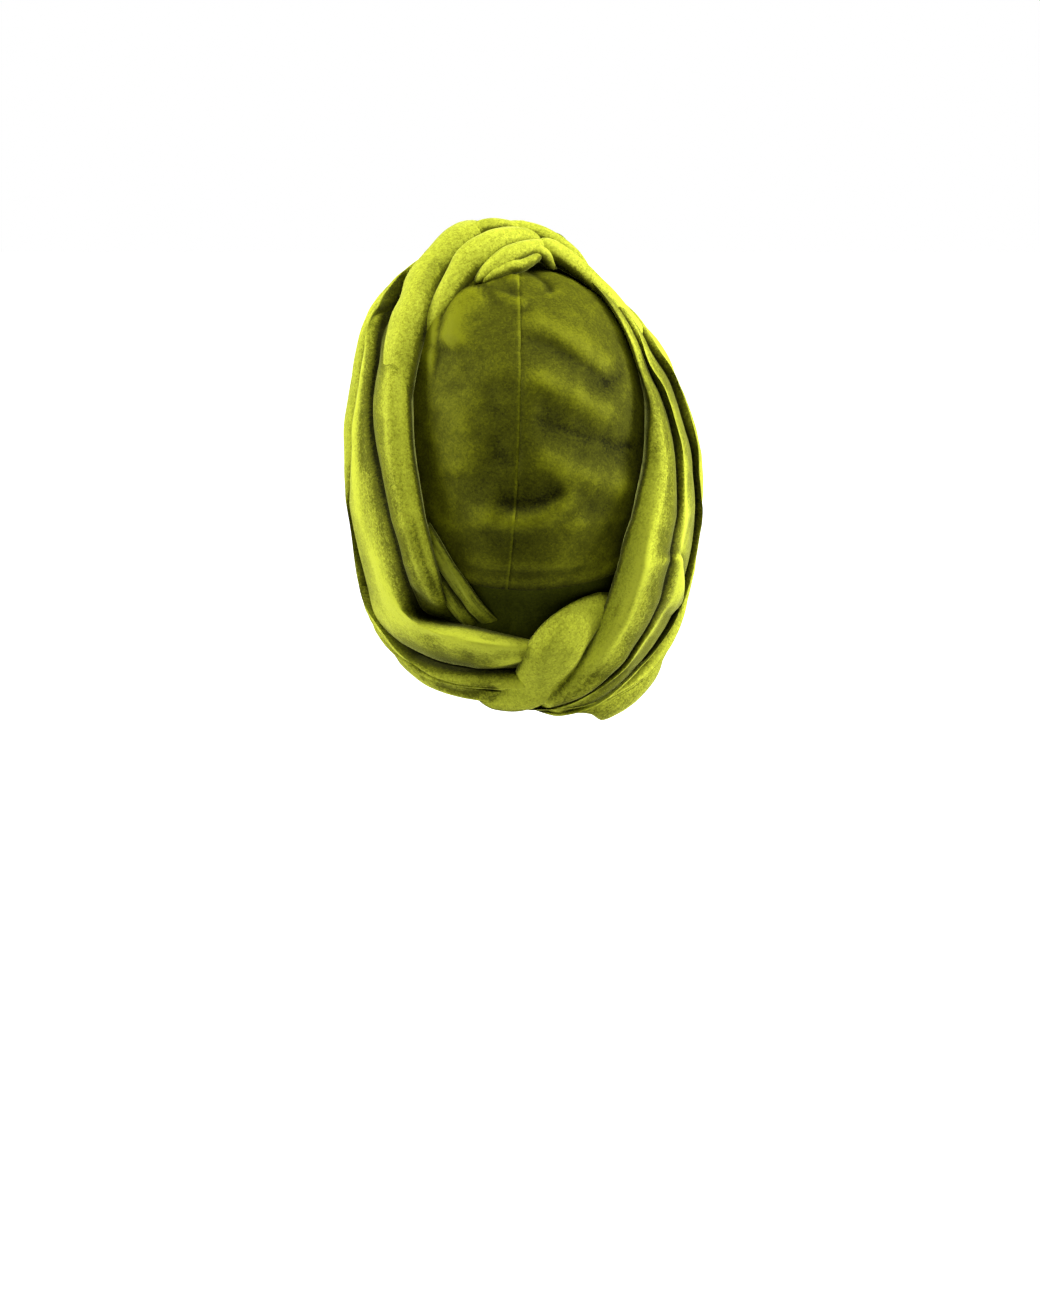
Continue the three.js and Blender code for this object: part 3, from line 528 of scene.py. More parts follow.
def bundle(
    folds, edges, steps, fine, valleys=(), sharp=(0,) * 9, lip=0.3, undercut=6.0, depth=FOLD_DEPTH
):
    """A bundle of folds over the form: rings across it, its height shares and its cloth marks."""
    lines, low_lines = table_of(folds, valleys, depth)
    last = len(lines[0]) - 1
    at = np.linspace(0, last, steps)
    rows = np.stack([between(line, at) for line in lines])
    low_rows = np.stack([between(line, at) for line in low_lines])
    count = len(rows)
    seats = on_form(places(rows))
    high = rows[..., 3] * depth
    end = np.minimum(at, last - at)
    taper = END_LOW + (1 - END_LOW) * np.sqrt(np.clip(end / END_SPAN, 0, 1))
    high = high * taper
    low = np.maximum(0, low_rows[..., 3]) * depth * taper
    reach = [edges[0] * np.minimum(1, 2 * rows[0, :, 3]), edges[1] * np.minimum(1, 2 * rows[-1, :, 3])]
    first = unit(seats[0] - seats[1])
    final = unit(seats[-1] - seats[-2])
    rims = [seats[0] + first * reach[0][:, None]]
    rims += list(on_form(places(low_rows)))
    rims.append(seats[-1] + final * reach[1][:, None])
    over, heights, crests = [], [], []
    lip_high = lip * depth * np.ones(steps)
    for k in range(count):
        floors = []
        for rim, other in ((k, k - 1), (k + 1, k + 1)):
            if 0 <= other < count:
                floors.append(np.minimum(high[k], low[min(k, other)]))
            else:
                floors.append(lip_high * np.minimum(1, high[k] / (lip * depth)))
        for t in np.linspace(-1, 1, 2 * fine + 1)[: None if k == count - 1 else -1]:
            rim = rims[k] if t < 0 else rims[k + 1]
            floor = floors[0] if t < 0 else floors[1]
            # A quick rise beside the valley, so the folds stand full and the valleys stay narrow
            spread = abs(t) ** STEEPENING
            over.append(seats[k] + (rim - seats[k]) * spread)
            share = profile(spread, sharp[k] if t > 0 else 0.0)
            heights.append(floor + (high[k] - floor) * share)
            crests.append(np.full(steps, share))
    over = np.stack(over, 1)
    surface = raised(over, np.stack(heights, 1))
    crest = np.stack(crests, 1)
    under = []
    inner = [rims[-1] - final * undercut]
    for k in range(count - 1, 0, -1):
        inner += [seats[k], rims[k]]
    inner += [seats[0], rims[0] - first * undercut]
    for p in inner:
        under.append(raised(p, np.zeros(steps)))
    under = np.stack(under, 1)
    along = length_along(surface.mean(1))
    between_points = np.diff(surface, axis=1, prepend=surface[:, :1])
    across = np.cumsum(np.linalg.norm(between_points, axis=2), axis=1)
    marks = np.stack([np.broadcast_to(along[:, None], across.shape), across], -1)
    low_marks = np.repeat(marks[:, -1:], under.shape[1], axis=1)
    # The underside takes no share of the section's painted light.
    low_crest = np.zeros(under.shape[:2])
    return (
        np.concatenate([surface, under], 1),
        np.concatenate([crest, low_crest], 1),
        np.concatenate([marks, low_marks], 1),
        surface.shape[1],
    )


# A roll's sides and rings, how many of its rings close each end, and the middle and swing of its
# painted light, lighter on its outer side and painted shade underneath
ROLL_SIDES = 26
ROLL_RINGS = 70
ROLL_END = 5
ROLL_TIP = 0.02
ROLL_PAINTED_LIGHT = 0.3
ROLL_PAINTED_LIGHT_SWING = 0.45


def drawn(rows, put=place_at):
    """A single roll of cloth whose line is drawn as seen from behind: rings, painted light and shade,
    marks and width.
    """
    at = np.linspace(0, len(rows) - 1, ROLL_RINGS)
    line = between(rows, at)
    wide = line[:, 3]
    thick = line[:, 4]
    middles = between([put(*row[:3]) for row in rows], at)
    for _ in range(3):
        middles[1:-1] = (middles[:-2] + 2 * middles[1:-1] + middles[2:]) / 4
    way = unit(np.gradient(middles, axis=0))
    aside = unit(np.cross(way, outward(middles)))
    out = np.cross(aside, way)
    turn = np.linspace(0, 2 * math.pi, ROLL_SIDES, endpoint=False)[::-1]
    count = np.arange(ROLL_RINGS)
    end = np.sqrt(np.clip(np.minimum(count, count[::-1]) / ROLL_END, ROLL_TIP, 1))
    across = aside[:, None] * (wide * end / 2)[:, None, None] * np.cos(turn)[None, :, None]
    ring = middles[:, None] + across
    ring = ring + out[:, None] * (thick * end / 2)[:, None, None] * np.sin(turn)[None, :, None]
    sunk = level(ring, SEAT) < 1
    ring[sunk] = on_form(ring[sunk], SEAT)
    # Painted light round the roll: lighter on its outer side, painted shade underneath.
    crest = np.broadcast_to(ROLL_PAINTED_LIGHT + ROLL_PAINTED_LIGHT_SWING * np.sin(turn), ring.shape[:2])
    along = length_along(middles)
    marks = np.stack(np.broadcast_arrays(along[:, None], (turn * wide.mean() / 2)[None, :]), -1)
    return ring, crest, marks, ROLL_SIDES


def soften(grid, passes=2):
    """Evens a grid's rings along the cloth, and less so across it."""
    for _ in range(passes):
        grid[1:-1] = (grid[:-2] + 2 * grid[1:-1] + grid[2:]) / 4
    grid[:, 1:-1] = (grid[:, :-2] + 4 * grid[:, 1:-1] + grid[:, 2:]) / 6
    return grid


# Passes and weights for how far the cloth stands out near by and over a wider stretch, which sets
# painted light on crests and painted shade in valleys
NEAR_PASSES = 12
WIDE_PASSES = 110
NEAR_WEIGHT = 0.35
WIDE_WEIGHT = 0.15


def blurred(grid, passes):
    """A grid evened both ways, many times over."""
    even = grid.copy()
    for _ in range(passes):
        even[1:-1] = (even[:-2] + 2 * even[1:-1] + even[2:]) / 4
        even[:, 1:-1] = (even[:, :-2] + 2 * even[:, 1:-1] + even[:, 2:]) / 4
    return even


def relief(grid):
    """How far each point stands out from the cloth around it: more on crests, less in valleys."""
    out = outward(grid)
    near = np.einsum("ijk,ijk->ij", grid - blurred(grid, NEAR_PASSES), out)
    wide = np.einsum("ijk,ijk->ij", grid - blurred(grid, WIDE_PASSES), out)
    near = NEAR_WEIGHT * (near - np.median(near))
    wide = WIDE_WEIGHT * (wide - np.median(wide))
    return np.clip(0.5 + near + wide, 0, 1)


# Fine wrinkles: their size and height, and how slowly they change along the cloth and with height
WRINKLE_SIZE = 14.0
WRINKLE_HEIGHT = 0.6
WRINKLE_ALONG = 0.12
WRINKLE_RISE = 0.05
BROAD_WRINKLES = 3.5
# Painted light and shade on the wraps, lighter on crests and darker in valleys: shares of the fold's
# section and of its relief, and what is added
SECTION_PAINTED_LIGHT = 0.25
RELIEF_PAINTED_LIGHT = 0.65
WRAP_PAINTED_LIGHT = -0.03
BUNDLE_PAINTED_LIGHT = 0.08
END_PAINTED_LIGHT = 0.3
# Painted light on the wearer's right, high up. Shares, where they begin and over how far.
PAINTED_LIGHT_ABOVE = (0.18, 40, 40)
PAINTED_LIGHT_BESIDE = (1, 42, 25)


def wrinkled(grid, marks, seed, over):
    """Fine folds that run along the cloth, on the first points of each ring only."""
    points = grid.reshape(-1, 3)
    line = marks.reshape(-1, 2)
    cloth = np.stack([line[:, 0] * WRINKLE_ALONG, line[:, 1], WRINKLE_RISE * points[:, 2]], -1)
    fine = 0.5 * ripple(cloth, WRINKLE_SIZE, seed)
    broad = ripple(points, BROAD_WRINKLES * WRINKLE_SIZE, seed + 1)
    mask = np.zeros(grid.shape[:2])
    mask[:, :over] = 1
    lift = WRINKLE_HEIGHT * (fine + broad) * mask.ravel()
    return points + outward(points) * lift[:, None]


def cloth_piece(name, parts, strokes=()):
    """Joins lofted parts into one object, with the strokes pressed into all of them."""
    points, faces, marks, shares = [], [], [], []
    start = 0
    for number, (grid, crest, mark, over) in enumerate(parts):
        moved = sculpt(wrinkled(grid, mark, 10 * number + len(name), over), strokes)
        shaped = soften(moved.reshape(grid.shape))
        corners, sheet = lofted(shaped)
        points.append(corners)
        faces += [tuple(start + v for v in f) for f in sheet]
        marks.append(np.vstack([mark.reshape(-1, 2), mark[0].mean(0), mark[-1].mean(0)]))
        # Painted light: lighter high up on the wearer's right.
        painted_light_high_right = shade(shaped[..., 2], *PAINTED_LIGHT_ABOVE) * shade(-shaped[..., 0], *PAINTED_LIGHT_BESIDE)
        # Painted light and shade: lighter on the folds' crests and where they stand out, darker in the
        # valleys between them.
        painted_light = SECTION_PAINTED_LIGHT * crest + RELIEF_PAINTED_LIGHT * relief(shaped) + WRAP_PAINTED_LIGHT + painted_light_high_right
        if over < grid.shape[1]:
            painted_light = painted_light + BUNDLE_PAINTED_LIGHT
        shares.append(np.concatenate([painted_light.ravel(), [END_PAINTED_LIGHT, END_PAINTED_LIGHT]]))
        start += len(corners)
    obj = make(name, np.vstack(points), faces, np.vstack(marks) / 1000)
    set_painted_light(obj, np.concatenate(shares))
    return obj


# Cap


def hem_height(turn):
    """The hem's height at a turn from the centre back."""
    back = (1 + np.cos(turn)) / 2
    front = (1 - np.cos(turn)) / 2
    middle = HEM_SIDE - (HEM_BACK + HEM_FRONT) / 2
    return -(HEM_BACK * back + HEM_FRONT * front + middle * np.sin(turn) ** 2)


def seam_side(z):
    """How far to the wearer's left the centre-back seam lies at a height."""
    turn_over = SEAM_TURN * RISE
    return SEAM_OFFSET + SEAM_SWAY * ((z - turn_over) / (HEM_BACK + turn_over)) ** 2


# The seam's groove beside it, and the hem's roll and groove above it: height, middle and width
SEAM_GROOVE = (0.4, 0, 1.3)
HEM_ROLL = (1.2, 3.5, 4.5)
HEM_GROOVE = (0.35, 11, 2.4)
# The cap's unevenness: height and size
BROADLY_UNEVEN = (0.5, 42)
FINELY_UNEVEN = (0.22, 15)
# The cap's painted light and shade: its own level and its share of the relief, lighter on crests and
# darker in creases
CAP_PAINTED_LIGHT = 0.16
CAP_RELIEF_PAINTED_LIGHT = 0.6
# Painted light and shade on the cap: lighter at the top and on the wearer's left, darker on the
# wearer's right, and painted shade at and below the hem. Share, start and reach
TOP_PAINTED_LIGHT = (0.14, 30, 60)
LEFT_PAINTED_LIGHT = (0.07, 15, 30)
RIGHT_PAINTED_SHADE = (0.12, 25, 30)
HEM_PAINTED_SHADE = (0.25, 6, -8)
# A painted highlight beside the seam: height, middle and width
SEAM_PAINTED_HIGHLIGHT = (0.3, 0.8, 0.8)


def panel_grid(sign):
    """One panel's outside, the height of its hem and where its points aim, in columns from the seam."""
    columns, rows = ((120, 150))
    closer_at_seam = 1.35
    least_width = 30
    top = math.radians(89)
    a = np.linspace(0, 1, columns)[:, None] ** closer_at_seam
    i = np.linspace(0, 1, rows)[None, :]
    z = -HEM_BACK + (RISE + HEM_BACK) * np.sin(i * math.pi / 2)
    # The seam's turn follows from the height of its points, so it is found in a few rounds.
    for _ in range(3):
        width = HALF_WIDTH * np.sqrt(np.clip(1 - (z / RISE) ** 2, 0, 1))
        near = np.arcsin(np.clip(seam_side(z) / np.maximum(least_width, width), -1, 1))
        turn = near + (sign * math.pi - 2 * near) * a
        hem = hem_height(turn)
        rim = on_form(np.stack([np.sin(turn) * HALF_WIDTH, np.cos(turn) * BACK, hem], -1))
        flat = np.hypot(rim[..., 0], rim[..., 1])
        low = np.arctan2(hem, flat)
        rise = low + (top - low) * i
        inward = np.where(rise > 0, np.cos(rise), 1)
        height = flat * np.where(rise > 0, np.sin(rise), np.tan(rise))
        aim = np.stack([rim[..., 0] * inward, rim[..., 1] * inward, height], -1)
        outer = on_form(aim)
        z = outer[..., 2]
    return outer, hem, aim


def cap_panel(name, sign):
    """One panel of the cap, outside and inside, with its creases, seam and hem."""
    outer, hem, aim = panel_grid(sign)
    behind = outer[..., 1] > 0
    beside_seam = np.abs(outer[..., 0] - seam_side(outer[..., 2]))
    above = outer[..., 2] - hem
    hem_roll = hump(above, *HEM_ROLL) - hump(above, *HEM_GROOVE)
    push = behind * (hem_roll - hump(beside_seam, *SEAM_GROOVE))
    points = (outer + outward(outer) * push[..., None]).reshape(-1, 3)
    soft = BROADLY_UNEVEN[0] * ripple(points, BROADLY_UNEVEN[1], 3 + sign)
    soft = soft + FINELY_UNEVEN[0] * ripple(points, FINELY_UNEVEN[1], 9 + sign)
    shaped = sculpt(points + outward(points) * soft[:, None], CAP_STROKES).reshape(outer.shape)
    # Where the outside is pressed in, the inside gives way as much, so the cloth keeps its thickness.
    inner = on_form(aim, -CAP_WALL)
    sunk = np.einsum("...i,...i->...", shaped - outer, outward(outer))
    inner = inner + outward(inner) * np.minimum(0, sunk)[..., None]
    points, faces = paired(np.concatenate([shaped, inner[:, ::-1]], 1))
    if sign < 0:
        faces = [tuple(reversed(f)) for f in faces]
    marks = outer[..., [0, 2]] / 1000
    obj = make(name, points, faces, np.concatenate([marks, marks[:, ::-1]], 1).reshape(-1, 2))
    # Painted light and shade: lighter on crests, at the top and on the left, darker in creases and on
    # the right.
    painted_light = CAP_PAINTED_LIGHT + CAP_RELIEF_PAINTED_LIGHT * relief(shaped) + shade(outer[..., 2], *TOP_PAINTED_LIGHT)
    painted_light = painted_light + shade(outer[..., 0], *LEFT_PAINTED_LIGHT) - shade(-outer[..., 0], *RIGHT_PAINTED_SHADE)
    # A painted highlight along the seam, on the left panel only.
    if sign > 0:
        painted_light = painted_light + behind * hump(beside_seam, *SEAM_PAINTED_HIGHLIGHT)
    # Painted shade at and below the hem, where the cap overhangs the band.
    painted_light = np.clip(painted_light - behind * shade(above, *HEM_PAINTED_SHADE), 0, 1)
    set_painted_light(obj, np.concatenate([painted_light, painted_light[:, ::-1]], 1).ravel())
    return obj


# The nape band: how far it goes up under the cap and down at the back, each less so at the front,
# the cloth between its two sides, and how far its lower edge leans out on the wraps
BAND_UP = 26
BAND_DOWN = 42
BAND_FLARE = 11
BAND_UNDER = 0.8
BAND_WALL = 2.0
# The band's level of painted light and shade, one value all over.
BAND_PAINTED_LIGHT_LEVEL = 0.4
BAND_COLUMNS = 160
BAND_ROWS = 26


def nape_band(name):
    """The band that shows below the hem at the back."""
    turn = np.linspace(0, 2 * math.pi, BAND_COLUMNS, endpoint=False)
    front = (1 - np.cos(turn)) / 2
    hem = hem_height(turn)
    high = hem + BAND_UP * (1 - 0.5 * front)
    low = hem - BAND_DOWN * (1 - 0.7 * front)
    share = np.linspace(0, 1, BAND_ROWS)
    z = high[:, None] + (low - high)[:, None] * share
    side = HALF_WIDTH * np.sin(turn)[:, None]
    back = BACK * np.cos(turn)[:, None]
    aim = np.stack(np.broadcast_arrays(side, back, z), -1)
    outer = on_form(aim, -CAP_WALL - BAND_UNDER)
    points = outer.reshape(-1, 3)
    flare = BAND_FLARE * smooth(1.8 * share - 0.8) * smooth(1 - 1.7 * front)[:, None]
    gather = 0.5 * ripple(points * np.array([2.4, 1, 0.35]), 20, 5) + flare.ravel()
    outer = sculpt(points + outward(points) * gather[:, None], BAND_STROKES).reshape(outer.shape)
    inner = on_form(aim, -CAP_WALL - BAND_UNDER - BAND_WALL)
    inner = inner + outward(inner) * flare[..., None]
    points, faces = lofted(np.concatenate([outer, inner[:, ::-1]], 1), closed_along=True)
    marks = aim[..., [0, 2]] / 1000
    obj = make(name, points, faces, np.concatenate([marks, marks[:, ::-1]], 1).reshape(-1, 2))
    set_painted_light(obj, np.full(len(points), BAND_PAINTED_LIGHT_LEVEL))
    return obj


# Folds and creases, drawn as seen from behind. Each row: kind, width, depth and its line of places to
# the right and up from the head's middle. An edge is raised on the left of its line.

CAP_STROKES = [
    ("crease", 5.0, 2.6, [(-20, -19), (-10, -21), (-1, -22), (8, -20), (16, -16), (24, -11)]),
    ("fold", 7.0, 2.4, [(-40, -24), (-24, -28), (-6, -31), (10, -27), (22, -20), (34, -12)]),
    ("fold", 8.0, 3.0, [(-8, 92), (10, 87), (26, 79), (42, 67), (54, 54)]),
    ("crease", 9.0, 3.0, [(-6, 81), (12, 76), (28, 68), (44, 57), (58, 45)]),
    ("fold", 8.0, 2.4, [(-6, 57), (10, 53), (24, 47), (40, 38), (56, 28)]),
    ("crease", 13.0, 2.6, [(0, 33), (16, 27), (36, 20), (56, 15), (76, 12)]),
    ("fold", 10.0, 2.6, [(-4, 12), (14, 3), (32, -4), (52, -8), (70, -10)]),
    ("fold", 5.0, 2.6, [(-42, 119), (-28, 117.5), (-14, 115), (0, 113)]),
    ("crease", 5.0, 2.0, [(-44, 108), (-30, 110), (-16, 108), (-2, 104)]),
    ("fold", 4.0, 2.0, [(-30, 111), (-18, 107.5), (-6, 101), (0, 96)]),
    ("fold", 11.0, 4.5, [(-46, 70), (-43, 86), (-36, 100), (-24, 110)]),
    ("edge", 8.0, 2.4, [(-57, 50), (-54, 66), (-52, 80), (-49, 94), (-43, 106), (-34, 114)]),
    ("crease", 4.0, 3.0, [(-6, 124), (4, 120), (12, 114), (16, 106)]),
    ("fold", 14.0, 1.6, [(-44, 50), (-38, 20), (-36, -6)]),
    ("crease", 14.0, 1.4, [(-24, 56), (-18, 28), (-18, -4)]),
]

BAND_STROKES = [
    ("crease", 2.0, 1.4, [(-11, -66), (-11, -80), (-11, -98)]),
    ("crease", 3.0, 1.4, [(-26, -74), (-6, -76), (18, -74), (40, -68)]),
    ("fold", 3.0, 1.0, [(-20, -84), (0, -86), (24, -84)]),
]


LEFT_STROKES = [
    ("crease", 3.0, 2.4, [(-93, 98), (-84, 99), (-78, 104), (-74, 112)]),
    ("fold", 4.5, 2.6, [(-57, 132), (-60.5, 117), (-67, 99), (-75, 80), (-81, 62)]),
    ("crease", 6.0, 2.8, [(-44, 134), (-51, 120), (-57, 104), (-62, 88), (-67, 70)]),
    ("crease", 5.0, 3.0, [(-18, 140), (-28, 130), (-38, 116), (-46, 102)]),
    ("crease", 6.0, 3.0, [(-70, -68), (-63, -78), (-52, -84), (-38, -87), (-30, -91)]),
    ("crease", 3.5, 1.6, [(-70, -24), (-66, -44), (-60, -62), (-52, -78)]),
    ("crease", 3.0, 1.6, [(-70, -95), (-52, -101), (-34, -101), (-12, -103)]),
    ("crease", 4.0, 2.4, [(-58, -128), (-42, -133), (-28, -133), (-14, -130)]),
    ("edge", 3.5, 2.6, [(-34, -121), (-16, -119), (0, -114)]),
    ("crease", 5.0, 1.6, [(-97, 84), (-99, 50), (-100, 20), (-98, -8)]),
]

RIGHT_STROKES = [
    ("edge", 4.0, 3.6, [(90, -88), (93, -72), (93, -58), (91.5, -48)]),
    ("crease", 5.0, 2.6, [(66, -30), (62, -48), (59, -66), (55, -84), (46, -98)]),
    ("edge", 4.0, 3.0, [(-4, -145), (12, -143), (28, -139), (44, -131), (58, -120), (68, -109)]),
    ("crease", 4.0, 3.0, [(46, -84), (42, -96), (37, -109), (30, -121), (22, -130), (10, -139)]),
    ("fold", 6.0, 2.0, [(34, -86), (22, -96), (12, -108), (5, -120), (-2, -132)]),
    ("crease", 5.0, 1.8, [(34, -94), (26, -104), (19, -115), (12, -127)]),
]

END_STROKES = [
    ("fold", 1.6, 1.6, [(-58, -44), (-52, -56), (-45, -68), (-38, -80), (-28, -94)]),
    ("crease", 1.6, 1.8, [(-55, -50), (-49, -62), (-42, -73), (-35, -86)]),
    ("fold", 1.4, 1.2, [(-50, -50), (-44, -60), (-38, -70), (-30, -86)]),
    ("crease", 1.6, 1.8, [(-60, -58), (-54, -70), (-48, -82)]),
]

# Loose rolls, drawn the same way. Each row: right, up, back, wide, thick.

LEFT_ROLLS = {
    "crest": [
        (-77, 8, 73, 6, 5), (-77, 28, 74, 14, 10), (-77, 46, 70, 20, 14), (-75.5, 62, 64, 23, 18),
        (-72.5, 79, 56, 24, 22), (-67.5, 96, 46, 26, 22), (-61, 111, 34, 27, 22),
        (-51, 125, 24, 27, 21), (-41, 136, 12, 25, 20), (-33, 141, -2, 22, 18), (-26, 140, -22, 16, 14),
    ],
    "fold_over": [
        (-63, 68, 56, 5, 5), (-60, 80, 56, 9, 9), (-55.5, 92, 55, 12, 13), (-48, 106, 49, 16, 17),
        (-38.5, 120, 42, 19, 19), (-27, 131, 35, 20, 19), (-14, 137, 22, 19, 17), (-1, 138, 6, 15, 14),
        (8, 134, -14, 9, 9),
    ],
    "behind_peak": [
        (-36, 132, 10, 8, 10), (-30, 141, 6, 12, 13), (-20, 145, 2, 13, 12), (-8, 144, -6, 11, 11),
        (2, 140, -18, 7, 8),
    ],
    "inner": [
        (-31, 110, 48, 5, 5), (-24, 118, 47, 11, 10), (-14, 126, 42, 14, 12), (-3, 131, 34, 13, 12),
        (7, 134, 24, 10, 9), (14, 133, 10, 6, 6),
    ],
    "inner_low": [
        (-27, 112, 50, 6, 4), (-20, 118, 49, 9, 8), (-11, 122, 46, 9, 8), (-3, 123, 44, 8, 7),
        (5, 127, 36, 6, 5), (10, 131, 26, 4, 4),
    ],
    "loop": [
        (-2, 129, 34, 5, 5), (6, 131, 31, 9, 8), (11, 128, 29, 9, 8), (14, 123, 27, 7, 6),
        (17, 118, 23, 4, 4),
    ],
}

RIGHT_ROLLS = {
    "behind_crown": [
        (-22, 143, -4, 8, 8), (-8, 143, -8, 13, 13), (4, 141, -10, 16, 14), (15, 136, -10, 19, 14),
        (26, 128, -12, 19, 12), (35, 114, -20, 17, 10), (42, 99, -28, 14, 9), (46, 84, -34, 9, 6),
    ],
    "over_crown": [
        (3, 135, 20, 8, 7), (13, 133, 21, 15, 12), (25, 125, 20, 18, 13), (37, 115, 20, 18, 12),
        (48, 105, 21, 17, 11), (58, 94, 22, 16, 9), (67, 83, 22, 14, 8), (74, 71, 19, 12, 7),
        (78, 60, 11, 9, 5), (79, 50, 1, 6, 4),
    ],
    "shoulder": [
        (46, 98, 10, 6, 4), (55, 91, 14, 12, 8), (64, 85, 18, 16, 11), (72, 77, 20, 17, 12),
        (80, 66, 20, 17, 11), (85, 54, 15, 14, 9), (86, 42, 6, 11, 7), (84, 30, -3, 7, 5),
    ],
}

# This one lies on the nape: right, up, lift, wide, thick.
CROSSING = [
    (50, -74, -2, 8, 6), (43, -82, 5, 18, 9), (33, -91, 11, 26, 12), (23, -101, 15, 31, 15),
    (16, -111, 16, 33, 15), (10, -121, 15, 30, 14), (3, -130, 12, 25, 12), (-6, -136, 7, 19, 10),
    (-17, -138, 3, 13, 8), (-28, -138, 0.5, 7, 5),
]


# Velvet


def socket(group, name, kind, value=None, put="INPUT"):
    """A new input, with its value, or a new output of a node group."""
    made = group.interface.new_socket(name=name, in_out=put, socket_type=kind)
    if value is not None:
        made.default_value = value


def add(tree, kind, settings=None, **inputs):
    """A new node. An input is given by its name, or by its number after an underscore."""
    made = tree.nodes.new(kind)
    for key, value in (settings or {}).items():
        setattr(made, key, value)
    for key, value in inputs.items():
        slot = made.inputs[int(key[1:])] if key[0] == "_" else made.inputs[key.replace("_", " ")]
        if isinstance(value, bpy.types.NodeSocket):
            tree.links.new(value, slot)
        else:
            slot.default_value = value
    return made


def math_of(tree, how, a, b=0.0, clamp=False):
    return add(tree, "ShaderNodeMath", {"operation": how, "use_clamp": clamp}, _0=a, _1=b).outputs[0]


def blend_of(tree, how, share, a, b):
    made = add(tree, "ShaderNodeMix", {"data_type": "RGBA", "blend_type": how}, _0=share, _6=a, _7=b)
    return made.outputs[2]


# Velvet pile in waves to a metre: crushed patches, brushed marks, single tufts, grain and flecks
PATCH_SCALE = 34.0
BRUSH_SCALE = 150.0
TUFT_SCALE = 2600.0
GRAIN_SCALE = 1100.0
FLECK_SCALE = 850.0
STREAK_SCALE = (22, 420, 1)
THREAD_SCALE = (90, 1500, 1)
# How strongly the painted light and shade of the crest attribute shows
CREST_GAIN = 1.25
SMOOTHEST = 0.62
ROUGHEST = 0.86


def weighted(tree, rows):
    """The sum of values, each times its weight."""
    total = None
    for value, weight in rows:
        part = math_of(tree, "MULTIPLY", value, weight)
        total = part if total is None else math_of(tree, "ADD", total, part)
    return total


def noise(tree, where, scale, detail, roughness):
    """A noise texture's value."""
    given = {"Vector": where, "Scale": scale, "Detail": detail, "Roughness": roughness}
    return add(tree, "ShaderNodeTexNoise", **given).outputs[0]


def pile_group():
    """Velvet pile: its colour, roughness and height, from crests and valleys given painted light and
    shade, crushed patches and streaks.
    """
    group = bpy.data.node_groups.new("velvet pile", "ShaderNodeTree")
    for name, value in (("Valley", 0.02), ("Middle", 0.1), ("Crest", 0.3)):
        socket(group, name, "NodeSocketColor", (value, value, 0.01, 1))
    for name in ("Crush", "Streaks", "Painted light offset"):
        socket(group, name, "NodeSocketFloat", 0.5)
    for name, kind in (("Color", "Color"), ("Roughness", "Float"), ("Height", "Float")):
        socket(group, name, "NodeSocket" + kind, put="OUTPUT")
    given = group.nodes.new("NodeGroupInput").outputs
    result = group.nodes.new("NodeGroupOutput").inputs
    # The crest attribute carries painted light and shade.
    crest = add(group, "ShaderNodeAttribute", {"attribute_name": "crest"}).outputs["Fac"]
    where = add(group, "ShaderNodeTexCoord").outputs["Object"]
    cloth = add(group, "ShaderNodeUVMap", {"uv_map": "cloth"}).outputs[0]
    along = add(group, "ShaderNodeMapping", _0=cloth, Scale=STREAK_SCALE).outputs[0]
    fine_along = add(group, "ShaderNodeMapping", _0=cloth, Scale=THREAD_SCALE).outputs[0]
    patch = noise(group, where, PATCH_SCALE, 4.0, 0.6)
    brush = noise(group, where, BRUSH_SCALE, 3.0, 0.65)
    pile = noise(group, where, TUFT_SCALE, 2.0, 0.6)
    grain = noise(group, where, GRAIN_SCALE, 3.0, 0.75)
    streak = noise(group, along, 1.0, 3.0, 0.6)
    thread = noise(group, fine_along, 1.0, 2.0, 0.5)
    cell = add(group, "ShaderNodeTexVoronoi", {"feature": "F1"}, Vector=where, Scale=FLECK_SCALE)
    fleck = add(group, "ShaderNodeSeparateColor", _0=cell.outputs["Color"]).outputs[0]
    # Each is centred on nothing, so that it darkens as much as it lightens.
    patches, marks, grains, streaks, threads, flecks = (
        math_of(group, "SUBTRACT", value, 0.5) for value in (patch, brush, grain, streak, thread, fleck)
    )
    crushed = weighted(group, [(patches, 1.0), (marks, 0.5)])
    streaked = weighted(group, [(streaks, 1.0), (threads, 0.6)])
    tone = weighted(group, [
        (crushed, given["Crush"]), (streaked, given["Streaks"]), (grains, 0.7), (flecks, 0.2),
        (crest, CREST_GAIN),
    ])
    # An offset that moves all of it towards painted shade when below nothing.
    lit = math_of(group, "ADD", tone, given["Painted light offset"], clamp=True)
    low_share = math_of(group, "MULTIPLY", lit, 2.0, clamp=True)
    high_share = math_of(group, "SUBTRACT", math_of(group, "MULTIPLY", lit, 2.0), 1.0, clamp=True)
    # Colours from valley to middle to crest: painted shade in the valleys, a painted highlight on the
    # crests, varied by the random pile tone.
    lower = blend_of(group, "MIX", low_share, given["Valley"], given["Middle"])
    colour = blend_of(group, "MIX", high_share, lower, given["Crest"])
    smoother = math_of(group, "MULTIPLY", lit, ROUGHEST - SMOOTHEST)
    group.links.new(colour, result["Color"])
    group.links.new(math_of(group, "SUBTRACT", ROUGHEST, smoother), result["Roughness"])
    group.links.new(weighted(group, [(pile, 0.6), (thread, 0.4), (brush, 0.8)]), result["Height"])
    return group


PILE = pile_group()


SHEEN_TINT = (0.8, 0.86, 0.2)
SHEEN_ROUGHNESS = 0.32
SPECULAR = 0.05
PILE_RELIEF = 0.3
PILE_HEIGHT = 0.0006


